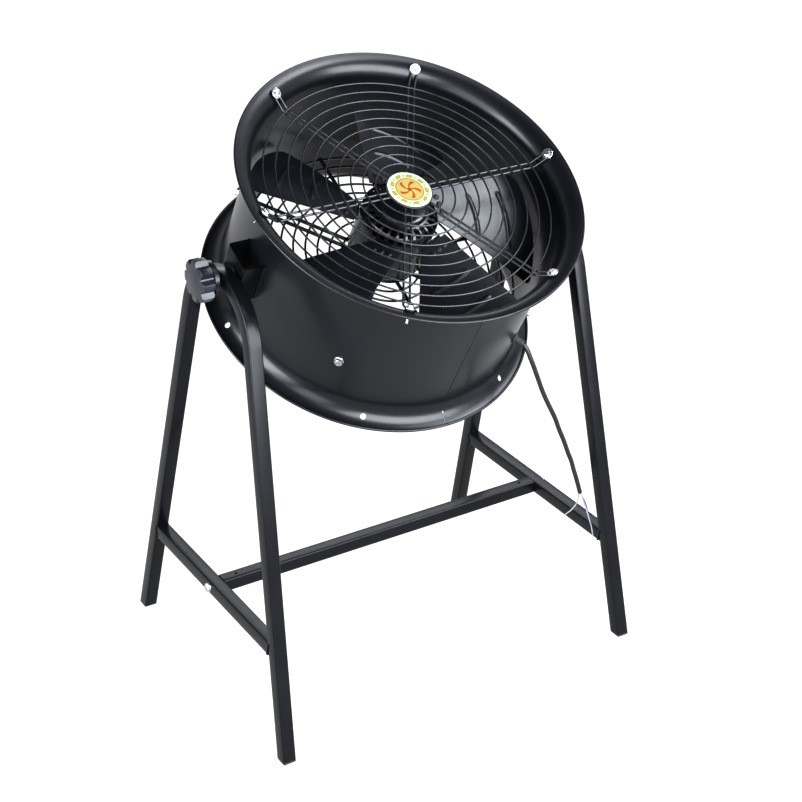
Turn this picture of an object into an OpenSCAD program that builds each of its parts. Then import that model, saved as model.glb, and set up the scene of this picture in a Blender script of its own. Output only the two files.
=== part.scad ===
// Free-standing axial fan: a rolled duct with a guarded mouth, clamped between two A-frames.
// Millimetres. +Z is up, the origin is on the floor midway between the four feet,
// X runs along the pivot axis and the mouth of the duct leans towards -Y.

/* [Stand] */
// Height of the pivot axis above the floor
pivot_h = 811; // [760:1:900]
// Outside width of the square tube
tube = 25; // [22:1:30]
// Wall of the square tube
tube_wall = 1.5; // [1.2:0.1:2.5]
// Bend radius of the arch, on the tube's centre line
arch_r = 114; // [90:1:140]
// Splay of each leg from the upright
leg_splay = 13.25; // [10:0.25:16]
// Inward lean of each frame
frame_lean = 3; // [1:0.5:5]
// Height of the crossbars' centre line
bar_h = 200; // [150:5:300]
// Diameter of the bolts that hold the stretcher
bar_bolt_d = 8; // [6:1:10]
// Length of the threaded block inside each end of the stretcher
block_len = 20; // [12:1:30]
// Diameter of the small hole in the stretcher's top face
top_hole_d = 6; // [3:1:8]
// Thickness of the plastic foot under each leg
foot_t = 3; // [2:0.5:6]
// Depth of the foot's plug inside the tube
plug_len = 20; // [10:1:40]

/* [Duct] */
// Inside diameter of the duct
duct_bore = 549; // [520:1:556]
// Sheet thickness of the duct
sheet = 2; // [1.5:0.25:3]
// Height of the flared rims over the duct's wall
flare = 33.5; // [30:0.5:45]
// Bead diameter along each rim
bead_d = 5; // [4:0.5:6]
// Distance from the pivot axis to the front rim
front_len = 148; // [140:1:170]
// Distance from the pivot axis to the rear rim
rear_len = 158; // [140:1:180]
// Lean of the duct's axis from the upright, at rest
tilt = 28; // [15:1:40]
// Place of the flange holes along the flare, from the duct wall
hole_at = 51; // [48:1:56]
// Number of holes round each flange
hole_count = 6; // [6:1:6]
// Diameter of the empty holes in the rear flange
rear_hole_d = 11; // [8:1:13]
// Width of the slit in the rear flange, where the rolled sheet meets
seam_gap = 1.6; // [1:0.2:3]

/* [Pivot] */
// Clearance between the rims and the frames
rim_clear = 8.5; // [7:0.5:15]
// Space kept for the washer between bracket and frame
wedge_space = 3.5; // [3:0.5:5]
// Width of the pivot bracket
bracket_w = 62; // [50:1:80]
// Length of the pivot bracket along the duct
bracket_len = 84; // [60:1:100]
// Sheet thickness of the bracket
bracket_t = 3; // [2:0.5:4]
// Diameter of the clamping stud
stud_d = 10; // [8:1:12]
// Outside diameter of the knob
knob_d = 76; // [60:1:90]
// Depth of the knob
knob_len = 35; // [30:1:45]
// Length of the round collar behind the knob's lobes
collar_len = 11; // [4:1:14]
// Lobes round the knob
knob_lobes = 8; // [6:1:10]
// Diameter of each lobe
lobe_d = 18; // [14:1:20]
// Diameter of the washers at the pivot
pivot_washer_d = 32; // [26:1:40]
// Thickness of the flat washer under the knob
flat_washer_t = 2; // [1.5:0.5:3]

/* [Front guard] */
// Wire diameter of the rings
ring_wire = 3; // [2:0.5:4]
// Wire diameter of the looped arms
arm_wire = 4; // [3:0.5:4]
// Gap between the outer ring and the duct, to the wire's middle
ring_gap = 18.5; // [14:0.5:30]
// Gap between the badge's plate and the inner ring
ring_in_gap = 18.25; // [8:0.25:30]
// Number of rings
ring_count = 10; // [6:1:10]
// Spacing of the two wires of an arm
arm_gap = 11; // [11:0.5:14]
// Bolt diameter of the guard
guard_bolt_d = 6; // [5:1:6]
// Diameter of the badge
badge_d = 80; // [60:1:90]
// Border of the black plate round the badge
plate_border = 2; // [1:0.5:6]
// Thickness of the badge and of its plate
badge_t = 1.5; // [1:0.5:3]

/* [Motor guard] */
// Rod diameter of the rings
mring_wire = 4; // [3:0.5:5]
// Rod diameter of the arms and spokes
mrod = 7; // [6:0.5:8]
// Gap between the outer ring and the duct, to the rod's middle
mring_gap = 25.5; // [22:0.5:34]
// Gap between the motor's plate and the inner ring
mring_in_gap = 11; // [8:1:30]
// Number of rings
mring_count = 9; // [5:1:10]
// Height of the ring plane along the duct, from the pivot axis
mring_s = -61; // [-80:1:-58]
// Spacing of the two rods of an arm
marm_gap = 17.5; // [16:0.5:20]
// Bolt diameter of the arms' feet
foot_bolt_d = 8; // [6:1:8]
// Distance of the foot bolts from the ring plane
foot_bolt_up = 21.5; // [20:0.5:26]

/* [Motor] */
// Outside diameter of the turning case
rotor_d = 137; // [132:1:144]
// Wall of the turning case
rotor_wall = 4; // [3:0.5:5]
// Height of the case's front face, from the pivot axis
rotor_front = 76; // [70:1:82]
// Height of the case's open edge, from the pivot axis
rotor_rear = -34; // [-36:1:-30]
// Number of cooling slots in the front face
slot_count = 20; // [12:1:24]
// Width of a cooling slot
slot_w = 10; // [6:1:11]
// Shaft diameter
shaft_d = 15; // [12:1:17]
// Outside diameter of the bearings
bearing_d = 35; // [32:1:37]
// Width of the bearings
bearing_w = 11; // [9:1:12]
// Length of the stator core
core_len = 52; // [40:1:56]
// Air gap between stator and rotor
air_gap = 0.5; // [0.3:0.1:1]

/* [Impeller] */
// Number of blades
blade_count = 5; // [5:1:5]
// Clearance between the blade tips and the duct
tip_clear = 8; // [4:1:12]
// Sheet thickness of the blades
blade_t = 2; // [1.5:0.5:3]
// Height of the front edge, from the pivot axis
blade_front = 58; // [50:1:60]
// Height of the rear edge at the tip, from the pivot axis
blade_rear = -20; // [-22:1:-10]
// Distance of the front edge from the radius that it runs along
edge_off = 40; // [30:1:45]
// Distance of the rear tip corner on the other side of that radius
edge_rear = 155; // [140:1:165]
// Radius of the blade's rounded tip corners
tip_round = 26; // [10:1:36]
// Radius of the blade's curve across its width
blade_curve = 520; // [400:10:900]
// Rivet diameter
rivet_d = 6; // [4:1:8]

/* [Cable] */
// Outside diameter of the cable
cable_d = 8.5; // [6:0.5:9]
// Outside diameter of each core
core_d = 2.6; // [2:0.2:3]
// Length of the rubber sleeve outside the duct
sleeve_len = 20; // [10:1:24]
// Angle round the duct where the cable leaves
cable_at = -57; // [-62:1:-52]
// Height along the duct where the cable leaves, from the pivot axis
cable_s = -56; // [-66:1:-50]

/* [Hidden] */
$fn = 96;

// Clearances
seat = 0.3;       // pieces that lie against each other and move
fit = 0.05;       // running fit of a pin in its bore, on the radius
loose = 0.5;      // bolt in a drilled hole, on the radius
eps = 1;          // cutters reach this far past a face
tip_ease = 0.3;   // a blade's corner curve stands this far out, so it meets the edges at a slight angle
far = 2000;       // size of the blocks that cut whole regions away

// Stand
bore_w = tube - 2 * tube_wall;
rim_r = duct_bore / 2 + sheet + flare;
frame_x = rim_r + rim_clear + tube / 2;
leg_len = 1200;
bar_z = -(pivot_h - bar_h) / cos(frame_lean);
function leg_y(z, off) = (arch_r + off - (z + arch_r) * sin(leg_splay)) / cos(leg_splay);
head_h = 0.65 * bar_bolt_d;
washer_t = 1.6;
bolt_reach = tube + block_len - 4;
top_hole_in = 30;

// Duct
duct_r = duct_bore / 2;
wall_r = duct_r + sheet;
flare_in = flare;
flare_out = flare + sheet;
flare_c = [front_len - flare_out, -(rear_len - flare_out)];
slit_r = rim_r - 0.73 * flare_in;

// Pivot
bracket_x = frame_x - tube / 2 - wedge_space;
wedge_in = bracket_x + seat;
wedge_out = frame_x + tube / 2 + wedge_space;
washer_x = wedge_out + seat;
knob_x = washer_x + flat_washer_t + seat;
nut_w = 1.7 * stud_d;
nut_t = 0.8 * stud_d;
stud_in = bracket_x - bracket_t - nut_t - 6;
stud_out = knob_x + 0.6 * knob_len;

// Front guard: the arms' sloping ends lie along the flare, their straight runs in one plane
ring_out = duct_r - ring_gap;
ring_in = badge_d / 2 + plate_border + ring_in_gap;
ring_step = (ring_out - ring_in) / (ring_count - 1);
arm_lift = flare_out + arm_wire / 2;
arm_end = [rim_r - arm_lift * cos(hole_at), flare_c[0] + arm_lift * sin(hole_at)];
bend_r = ring_out + ring_wire / 2 + arm_wire / 2;
slope_len = (arm_end[0] - bend_r) / sin(hole_at);
arm_s = arm_end[1] - slope_len * cos(hole_at);
ring_s = arm_s + arm_wire / 2 + ring_wire / 2;
plate_s = arm_s + arm_wire / 2;
gwasher_d = 20;
gwasher_t = 1.6;
gnut_t = 5;
gbolt_len = flare_out - flare_in + arm_wire + gwasher_t + gnut_t + 14;

// Motor guard
mrod_s = mring_s + mring_wire / 2 + mrod / 2;
mplate_s = mrod_s + mrod / 2;
mplate_t = 3;
mplate_r = 62;
mring_out = duct_r - mring_gap;
mring_step = (mring_out - mplate_r - mring_in_gap) / (mring_count - 1);
foot_w = 34;
foot_sheet = 3;
foot_face = sqrt(duct_r * duct_r - foot_w * foot_w / 4);
foot_bolt_s = mring_s + foot_bolt_up;
foot_span = [mring_s - 2, foot_bolt_s + 13];
foot_nut_t = 6.5;
foot_head_t = 5.3;
foot_washer_d = 17;

// Motor
rotor_r = rotor_d / 2;
case_in = rotor_r - rotor_wall;
mflange_s = mplate_s + mplate_t;
mflange_t = 8;
mflange_r = 59;
btube_r = bearing_d / 2 + 4.5;
bore_r = bearing_d / 2 - 2.5;
rear_bearing_s = mflange_s + 11;
front_bearing_s = 31;
btube_end = front_bearing_s + bearing_w + 2;
core_s = 10 - core_len / 2;
core_r = case_in - 8 - air_gap;
turn_h = 15;
screw_r = 40;
nose_r = 44;
nose_h = 8;
boss_r = 16;
boss_len = 20;
slot_in = 50;
slot_out = case_in;
cap_t = 3;

// Impeller
tip_r = duct_r - tip_clear;
root_x = rotor_r + 7;
bracket_root = rotor_r + seat;
bracket_tip = rotor_r + 36;
bracket_y = [-14, 32];
bracket_sheet = 3;
rivet_y = [-4, 10, 24];
rivet_x = rotor_r + 23;
// The blade's outline, seen along the shaft, and the circles that round its two tip corners
rear_root = [root_x + 8, -26];
rear_tip = [tip_r * cos(asin(edge_rear / tip_r)), -edge_rear];
function tip_corner(at, n, d) =
    let (h = n * at + tip_round) n * h + d * sqrt(pow(tip_r - tip_round, 2) - h * h);
front_in = [0, -1];
rear_d = (rear_tip - rear_root) / norm(rear_tip - rear_root);
rear_in = [-rear_d[1], rear_d[0]];
// The blade's cross-section is an arc through its front and rear edges, bulging forwards
chord = [edge_off + edge_rear, blade_front - blade_rear];
chord_len = norm(chord);
chord_mid = [(edge_off - edge_rear) / 2, (blade_front + blade_rear) / 2];
arc_drop = sqrt(blade_curve * blade_curve - chord_len * chord_len / 4);
arc_c = [chord_mid[0] + arc_drop * chord[1] / chord_len, chord_mid[1] - arc_drop * chord[0] / chord_len];
function arc_angle(y) = asin((y - arc_c[0]) / blade_curve);

// Cable: points of its route on the floor's frame, and of the cores at its bare end
cable_route = [
    [161.5, -193.3, 644.8], [166, -199, 634], [171, -203, 619], [179, -205, 599], [184, -205, 587],
    [190, -204, 574], [202, -202, 548], [209, -201, 534], [217, -200, 519], [226, -199, 503],
    [235, -198, 487], [244, -197, 470], [252, -196, 452], [260, -195, 436], [268, -195, 419],
    [282, -195, 386], [289, -196, 370], [294, -197, 354], [304, -199, 324], [313, -200, 296]
];
core_routes = [
    [[310.9, -200.2, 294.8], [309.5, -201, 287], [306, -202, 278], [299, -203, 270], [288, -204, 264],
     [275, -205, 260]],
    [[314.6, -198.2, 295.9], [319, -197.8, 287], [325, -198, 276], [331, -199, 263], [334.5, -200, 250],
     [336, -201, 238]],
    [[313.4, -202.2, 295.9], [317.5, -203.4, 283], [323, -205, 268], [329, -207.5, 250], [335, -210, 230],
     [339.5, -213, 212], [342, -215, 196]]
];
core_colours = ["khaki", "darkslateblue", "lavender"];
// The lead inside the duct: along an arm, across it, and height along the duct
lead_d = 7;
lead_route = [
    [59.3, 0, -44.6], [66, 0, -45], [76, 0, -47.6], [88, 0, -52.4], [102, 0, -55], [125, 0, -55.5],
    [150, 0, -55.5], [172, 0, -55], [190, 1, -52.6], [206, 5, -48.6], [223, 13, -46.5], [236, 26, -48],
    [243, 38, -50.5], [250, 48, -53.5], [257.5, 54, -55.5], [264.2, 56.16, -56]
];
lead_at = -45;

// Places
module at_drum() {
    translate([0, 0, pivot_h]) rotate([tilt, 0, 0]) children();
}
// Frame coordinates: x outwards from the duct, z up along the leaning frame, from the pivot
module at_frame(side) {
    mirror([side < 0 ? 1 : 0, 0, 0])
    translate([frame_x, 0, pivot_h])
    rotate([0, -frame_lean, 0])
    children();
}
module on_side(side) {
    mirror([side < 0 ? 1 : 0, 0, 0]) children();
}
// Flange hole k of one end: z along the hole's axis, from the centre of the flare's curve
module at_hole(k, front) {
    rotate([0, 0, k * 360 / hole_count])
    translate([rim_r, 0, flare_c[front ? 0 : 1]])
    mirror([0, 0, front ? 0 : 1])
    rotate([0, hole_at - 90, 0])
    children();
}
module lie_x(x, r, len) {
    translate([x, 0, 0]) rotate([0, 90, 0]) cylinder(r = r, h = len);
}
module hex(w, h) {
    cylinder(d = w / cos(30), h = h, $fn = 6);
}

// A closed tube of round section along a list of points
function unit(v) = v / norm(v);
function along(p, i) = unit(p[min(i + 1, len(p) - 1)] - p[max(i - 1, 0)]);
function across(t) = unit(cross(t, [0, 1, 0]));
module swept_tube(p, d, sides) {
    n = len(p);
    pts = [for (i = [0 : n - 1])
        let (t = along(p, i), a = across(t), b = cross(t, a))
        for (k = [0 : sides - 1])
            p[i] + d / 2 * (cos(360 * k / sides) * a + sin(360 * k / sides) * b)];
    skin = [for (i = [0 : n - 2], k = [0 : sides - 1])
        let (k2 = (k + 1) % sides)
        each [[i * sides + k, i * sides + k2, (i + 1) * sides + k2],
              [i * sides + k, (i + 1) * sides + k2, (i + 1) * sides + k]]];
    ends = [for (k = [1 : sides - 2])
        each [[0, k + 1, k], [(n - 1) * sides, (n - 1) * sides + k, (n - 1) * sides + k + 1]]];
    polyhedron(points = pts, faces = [for (f = concat(skin, ends)) [f[0], f[2], f[1]]]);
}

// Stand
module frame_bar(w) {
    translate([0, 0, -arch_r])
    for (s = [0, 1])
        mirror([0, s, 0]) {
            rotate([90, 0, 90])
            rotate([0, 0, leg_splay])
            rotate_extrude(angle = 95 - leg_splay)
            translate([arch_r, 0])
            square(w, center = true);
            translate([0, arch_r * cos(leg_splay), arch_r * sin(leg_splay)])
            rotate([leg_splay, 0, 0])
            translate([-w / 2, -w / 2, -leg_len])
            cube([w, w, leg_len]);
        }
}
module slab(z0, z1) {
    translate([-far, -far, z0]) cube([2 * far, 2 * far, z1 - z0]);
}
module frame(side) {
    color("#1d1d21")
    difference() {
        intersection() {
            at_frame(side) frame_bar(tube);
            slab(foot_t, far);
        }
        at_frame(side) frame_bar(bore_w);
        translate([0, 0, pivot_h]) on_side(side)
            lie_x(frame_x - tube, stud_d / 2 + loose, 2 * tube);
    }
}
module left_frame() { frame(-1); }
module right_frame() { frame(1); }

module crossbar(side) {
    h = tube / 2;
    color("#1d1d21")
    at_frame(side)
    difference() {
        rotate([90, 0, 90])
        linear_extrude(tube, center = true)
        polygon([
            [-leg_y(bar_z - h, -h), bar_z - h], [leg_y(bar_z - h, -h), bar_z - h],
            [leg_y(bar_z + h, -h), bar_z + h], [-leg_y(bar_z + h, -h), bar_z + h]
        ]);
        translate([-bore_w / 2, -far / 2, bar_z - bore_w / 2]) cube([bore_w, far, bore_w]);
        translate([0, 0, bar_z]) lie_x(-tube, bar_bolt_d / 2 + loose, 2 * tube);
    }
}
module left_crossbar() { crossbar(-1); }
module right_crossbar() { crossbar(1); }

// Everything outside the inner faces of the two frames
module beyond_frames() {
    for (side = [-1, 1])
        at_frame(side) translate([-tube / 2, -far / 2, -far]) cube([far, far, 2 * far]);
}
module stretcher() {
    color("#1d1d21")
    difference() {
        translate([-far / 2, -tube / 2, bar_h - tube / 2]) cube([far, tube, tube]);
        translate([-far, -bore_w / 2, bar_h - bore_w / 2]) cube([2 * far, bore_w, bore_w]);
        beyond_frames();
        for (side = [-1, 1])
            translate([side * (frame_x + (pivot_h - bar_h) * tan(frame_lean) - tube / 2 - top_hole_in), 0, bar_h])
            cylinder(d = top_hole_d, h = tube);
    }
}
module stretcher_blocks() {
    w = bore_w - 2 * fit;
    color("#55565a")
    for (side = [-1, 1])
        difference() {
            intersection() {
                at_frame(side)
                    translate([-tube / 2 - block_len, -tube, bar_z - tube]) cube([block_len, 2 * tube, 2 * tube]);
                translate([-far / 2, -w / 2, bar_h - w / 2]) cube([far, w, w]);
            }
            at_frame(side) translate([0, 0, bar_z])
                lie_x(-tube / 2 - block_len - tube, bar_bolt_d / 2 + fit, block_len + 2 * tube);
        }
}
module stretcher_bolts() {
    color("silver")
    for (side = [-1, 1])
        at_frame(side) translate([0, 0, bar_z]) {
            lie_x(tube / 2 + washer_t - bolt_reach, bar_bolt_d / 2, bolt_reach);
            translate([tube / 2 + washer_t, 0, 0]) rotate([0, 90, 0]) hex(1.625 * bar_bolt_d, head_h);
        }
}
module stretcher_washers() {
    color("silver")
    for (side = [-1, 1])
        at_frame(side) translate([0, 0, bar_z])
        difference() {
            lie_x(tube / 2, 1.05 * bar_bolt_d, washer_t);
            lie_x(tube / 2 - eps, bar_bolt_d / 2 + fit, washer_t + 2 * eps);
        }
}
module foot_plugs() {
    color("#17171a")
    for (side = [-1, 1]) {
        intersection() {
            at_frame(side) frame_bar(tube);
            slab(0, foot_t);
        }
        intersection() {
            at_frame(side) frame_bar(bore_w - 2 * fit);
            slab(foot_t / 2, foot_t + plug_len);
        }
    }
}
module pivot_wedges() {
    color("#2a2a2e")
    for (side = [-1, 1])
        difference() {
            translate([0, 0, pivot_h]) on_side(side)
                lie_x(wedge_in, pivot_washer_d / 2, wedge_out - wedge_in);
            at_frame(side) cube([tube, far, far], center = true);
            translate([0, 0, pivot_h]) on_side(side)
                lie_x(wedge_in - eps, stud_d / 2 + loose, wedge_out - wedge_in + 2 * eps);
        }
}

// Clamps
module clamp_washer(side) {
    color("silver")
    translate([0, 0, pivot_h]) on_side(side)
    difference() {
        lie_x(washer_x, pivot_washer_d / 2, flat_washer_t);
        lie_x(washer_x - eps, stud_d / 2 + fit, flat_washer_t + 2 * eps);
    }
}
module left_clamp_washer() { clamp_washer(-1); }
module right_clamp_washer() { clamp_washer(1); }
module knob(side) {
    lobe_at = knob_d / 2 - lobe_d / 2;
    color("#202228")
    translate([0, 0, pivot_h]) on_side(side)
    difference() {
        union() {
            lie_x(knob_x, lobe_at + 1, knob_len);
            lie_x(knob_x, 0.6 * lobe_at, knob_len + 2);
            for (k = [0 : knob_lobes - 1])
                rotate([k * 360 / knob_lobes, 0, 0])
                translate([0, lobe_at, 0])
                lie_x(knob_x + collar_len, lobe_d / 2, knob_len - collar_len);
        }
        lie_x(knob_x - eps, stud_d / 2, stud_out - knob_x + eps);
    }
}
module left_knob() { knob(-1); }
module right_knob() { knob(1); }
module stud(side) {
    color("silver")
    translate([0, 0, pivot_h]) on_side(side)
    lie_x(stud_in, stud_d / 2, stud_out - stud_in);
}
module left_stud() { stud(-1); }
module right_stud() { stud(1); }

// Duct
module flare_profile(end) {
    translate([rim_r, flare_c[end]])
    intersection() {
        difference() {
            circle(flare_out);
            circle(flare_in);
        }
        translate([-flare_out, end == 0 ? 0 : -flare_out]) square(flare_out);
    }
}
module duct_shell() {
    color("#222227")
    at_drum()
    difference() {
        rotate_extrude($fn = 180) {
            translate([duct_r, flare_c[1]]) square([sheet, flare_c[0] - flare_c[1]]);
            flare_profile(0);
            flare_profile(1);
            translate([rim_r - bead_d / 2, front_len - bead_d / 2]) circle(d = bead_d, $fn = 32);
            translate([rim_r - bead_d / 2, -rear_len + bead_d / 2]) circle(d = bead_d, $fn = 32);
        }
        for (k = [0 : hole_count - 1]) {
            at_hole(k, true) cylinder(r = guard_bolt_d / 2 + loose, h = flare_out + 10);
            at_hole(k, false) cylinder(d = rear_hole_d, h = flare_out + 10);
        }
        at_feet() lie_x(duct_r - 5, foot_bolt_d / 2 + loose, 2 * sheet + 10);
        at_cable() cylinder(r = cable_d / 2 + 2, h = 2 * sheet + 10, center = true);
        // The slit of the rolled seam in the rear flange, with its round end
        rotate([0, 0, -90]) {
            translate([slit_r, -seam_gap / 2, -rear_len - eps]) cube([far, seam_gap, flare_out]);
            translate([slit_r, 0, -rear_len - eps]) cylinder(d = 4, h = flare_out);
        }
    }
}
module bracket(side) {
    color("#1d1d21")
    at_drum() on_side(side)
    difference() {
        translate([0, -bracket_w / 2, -bracket_len / 2]) cube([bracket_x, bracket_w, bracket_len]);
        translate([-eps, -bracket_w / 2 + bracket_t, -bracket_len])
            cube([bracket_x - bracket_t + eps, bracket_w - 2 * bracket_t, 2 * bracket_len]);
        cylinder(r = wall_r, h = 2 * bracket_len, center = true, $fn = 180);
        lie_x(bracket_x - 2 * bracket_t, stud_d / 2 + loose, 4 * bracket_t);
    }
}
module left_bracket() { bracket(-1); }
module right_bracket() { bracket(1); }
module bracket_nuts() {
    color("silver")
    at_drum()
    for (side = [-1, 1])
        on_side(side)
        difference() {
            translate([bracket_x - bracket_t - nut_t, 0, 0]) rotate([0, 90, 0]) hex(nut_w, nut_t);
            lie_x(bracket_x - bracket_t - nut_t - eps, stud_d / 2 + fit, nut_t + 2 * eps);
        }
}

// Front guard
module front_guard_rings() {
    color("#26262b")
    at_drum()
    for (i = [0 : ring_count - 1])
        translate([0, 0, ring_s])
        rotate_extrude($fn = 120)
        translate([ring_out - i * ring_step, 0])
        circle(d = ring_wire, $fn = 24);
}
// One side of the plane in which an arm's straight run meets its slope
module mitre(side) {
    translate([bend_r, 0, arm_s])
    rotate([0, -(90 - hole_at) / 2, 0])
    translate([side < 0 ? -far : 0, -far / 2, -far / 2])
    cube(far);
}
module at_slope() {
    translate([rim_r, 0, flare_c[0]]) rotate([0, hole_at - 90, 0]) translate([0, 0, arm_lift]) children();
}
module guard_arm() {
    g = arm_gap / 2;
    start = badge_d / 2 - 12;
    intersection() {
        for (y = [-g, g])
            translate([start, y, arm_s]) rotate([0, 90, 0])
            cylinder(d = arm_wire, h = bend_r + arm_wire - start, $fn = 32);
        mitre(-1);
    }
    intersection() {
        at_slope()
        for (y = [-g, g])
            translate([-slope_len - arm_wire, y, 0]) rotate([0, 90, 0])
            cylinder(d = arm_wire, h = slope_len + arm_wire, $fn = 32);
        mitre(1);
    }
    at_slope()
    intersection() {
        rotate_extrude() translate([g, 0]) circle(d = arm_wire, $fn = 32);
        translate([0, -2 * g, -arm_wire]) cube([3 * g, 4 * g, 2 * arm_wire]);
    }
}
module front_guard_arms() {
    color("#26262b")
    at_drum()
    for (k = [0 : hole_count - 1])
        rotate([0, 0, k * 360 / hole_count]) guard_arm();
}
module badge_plate() {
    color("#141416")
    at_drum() translate([0, 0, plate_s]) cylinder(d = badge_d + 2 * plate_border, h = badge_t);
}
module badge() {
    color("#e8e28a")
    at_drum() translate([0, 0, plate_s + badge_t]) cylinder(d = badge_d, h = badge_t);
}
module front_guard_washers() {
    color("silver")
    at_drum()
    for (k = [0 : hole_count - 1])
        at_hole(k, true)
        translate([0, 0, flare_out + arm_wire])
        difference() {
            cylinder(d = gwasher_d, h = gwasher_t);
            translate([0, 0, -eps]) cylinder(r = guard_bolt_d / 2 + fit, h = gwasher_t + 2 * eps);
        }
}
module front_guard_bolts() {
    top = flare_out + arm_wire + gwasher_t;
    color("silver")
    at_drum()
    for (k = [0 : hole_count - 1])
        at_hole(k, true) {
            translate([0, 0, top - gbolt_len]) cylinder(d = guard_bolt_d, h = gbolt_len);
            translate([0, 0, top]) hex(1.667 * guard_bolt_d, 0.7 * guard_bolt_d);
        }
}
module front_guard_nuts() {
    w = 1.667 * guard_bolt_d;
    // The nut bridges the flare's hollow side, so its corners meet the sheet
    drop = sqrt(flare_in * flare_in - w * w / 3) - seat;
    color("silver")
    at_drum()
    for (k = [0 : hole_count - 1])
        at_hole(k, true)
        translate([0, 0, drop - gnut_t])
        difference() {
            hex(w, gnut_t);
            translate([0, 0, -eps]) cylinder(r = guard_bolt_d / 2 + fit, h = gnut_t + 2 * eps);
        }
}

// Motor guard: rings, four double arms on feet bolted to the duct, and four single spokes
module at_feet() {
    for (k = [0 : 3])
        rotate([0, 0, 45 + 90 * k]) translate([0, 0, foot_bolt_s]) children();
}
module motor_guard_rings() {
    color("#17171a")
    at_drum()
    for (i = [0 : mring_count - 1])
        translate([0, 0, mring_s])
        rotate_extrude($fn = 120)
        translate([mring_out - i * mring_step, 0])
        circle(d = mring_wire, $fn = 24);
}
module motor_guard_arms() {
    color("#17171a")
    at_drum()
    for (k = [0 : 3], y = [-marm_gap / 2, marm_gap / 2])
        rotate([0, 0, 45 + 90 * k]) translate([0, y, mrod_s])
        lie_x(30, mrod / 2, foot_face - foot_sheet - 30);
}
module motor_guard_spokes() {
    color("#17171a")
    at_drum()
    for (k = [0 : 3])
        rotate([0, 0, 90 * k]) translate([0, 0, mrod_s])
        lie_x(screw_r + 12, mrod / 2, mring_out - screw_r - 12);
}
module motor_guard_feet() {
    color("#17171a")
    at_drum()
    difference() {
        for (k = [0 : 3])
            rotate([0, 0, 45 + 90 * k])
            translate([foot_face - foot_sheet, -foot_w / 2, foot_span[0]])
            cube([foot_sheet, foot_w, foot_span[1] - foot_span[0]]);
        at_feet() lie_x(foot_face - 3 * foot_sheet, foot_bolt_d / 2 + loose, 6 * foot_sheet);
    }
}
module foot_bolts() {
    inner = foot_face - foot_sheet - foot_nut_t - 3;
    color("silver")
    at_drum() at_feet() {
        lie_x(inner, foot_bolt_d / 2, wall_r + washer_t - inner);
        translate([wall_r, 0, 0]) rotate([0, 90, 0]) cylinder(d = foot_washer_d, h = washer_t);
        translate([wall_r + washer_t, 0, 0]) rotate([0, 90, 0]) hex(1.625 * foot_bolt_d, foot_head_t);
    }
}
module foot_bolt_nuts() {
    color("silver")
    at_drum() at_feet()
    difference() {
        translate([foot_face - foot_sheet - foot_nut_t, 0, 0]) rotate([0, 90, 0]) hex(1.625 * foot_bolt_d, foot_nut_t);
        lie_x(foot_face - foot_sheet - foot_nut_t - eps, foot_bolt_d / 2 + fit, foot_nut_t + 2 * eps);
    }
}
module motor_plate() {
    color("#17171a")
    at_drum()
    difference() {
        translate([0, 0, mplate_s]) cylinder(r = mplate_r, h = mplate_t);
        translate([0, 0, mplate_s - eps]) cylinder(r = bore_r, h = mplate_t + 2 * eps);
        at_screws() translate([0, 0, mplate_s - eps]) cylinder(r = 3 + loose, h = mplate_t + 2 * eps);
    }
}

// Motor: the case turns round the stator, which stands on the flange
module at_screws() {
    for (k = [0 : 3])
        rotate([0, 0, 90 * k]) translate([screw_r, 0, 0]) children();
}
module motor_flange() {
    color("#8f9295")
    at_drum()
    difference() {
        union() {
            translate([0, 0, mflange_s]) cylinder(r = mflange_r, h = mflange_t);
            translate([0, 0, mflange_s]) cylinder(r = btube_r, h = btube_end - mflange_s);
        }
        translate([0, 0, mflange_s - eps]) cylinder(r = bore_r, h = far);
        translate([0, 0, mflange_s - eps]) cylinder(d = bearing_d, h = rear_bearing_s + bearing_w - mflange_s + eps);
        translate([0, 0, front_bearing_s]) cylinder(d = bearing_d, h = far);
        at_screws() translate([0, 0, mflange_s - eps]) cylinder(r = 3 + fit, h = mflange_t + 2 * eps);
    }
}
module motor_screws() {
    color("silver")
    at_drum() at_screws() {
        translate([0, 0, mplate_s]) cylinder(r = 3, h = mplate_t + mflange_t - 1);
        translate([0, 0, mplate_s - 4]) cylinder(r = 5, h = 4);
    }
}
module motor_rear_cap() {
    color("#55565a")
    at_drum() translate([0, 0, mflange_s]) cylinder(r = bearing_d / 2 - fit, h = cap_t);
}
module stator_core() {
    color("#6d6f73")
    at_drum()
    difference() {
        translate([0, 0, core_s]) cylinder(r = core_r, h = core_len);
        translate([0, 0, core_s - eps]) cylinder(r = btube_r, h = core_len + 2 * eps);
        for (k = [0 : 23])
            rotate([0, 0, 15 * k]) translate([core_r - 16, -2.5, core_s - eps]) cube([far, 5, core_len + 2 * eps]);
    }
}
module stator_windings() {
    color("#b5713a")
    at_drum()
    for (s = [core_s - turn_h - seat, core_s + core_len + seat])
        translate([0, 0, s])
        rotate_extrude()
        translate([core_r - 23, 0])
        square([21, turn_h]);
}
module bearing(s) {
    color("#c9cbce")
    at_drum() translate([0, 0, s])
    difference() {
        cylinder(d = bearing_d, h = bearing_w);
        translate([0, 0, -eps]) cylinder(r = shaft_d / 2 + fit, h = bearing_w + 2 * eps);
    }
}
module rear_bearing() { bearing(rear_bearing_s); }
module front_bearing() { bearing(front_bearing_s); }

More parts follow.
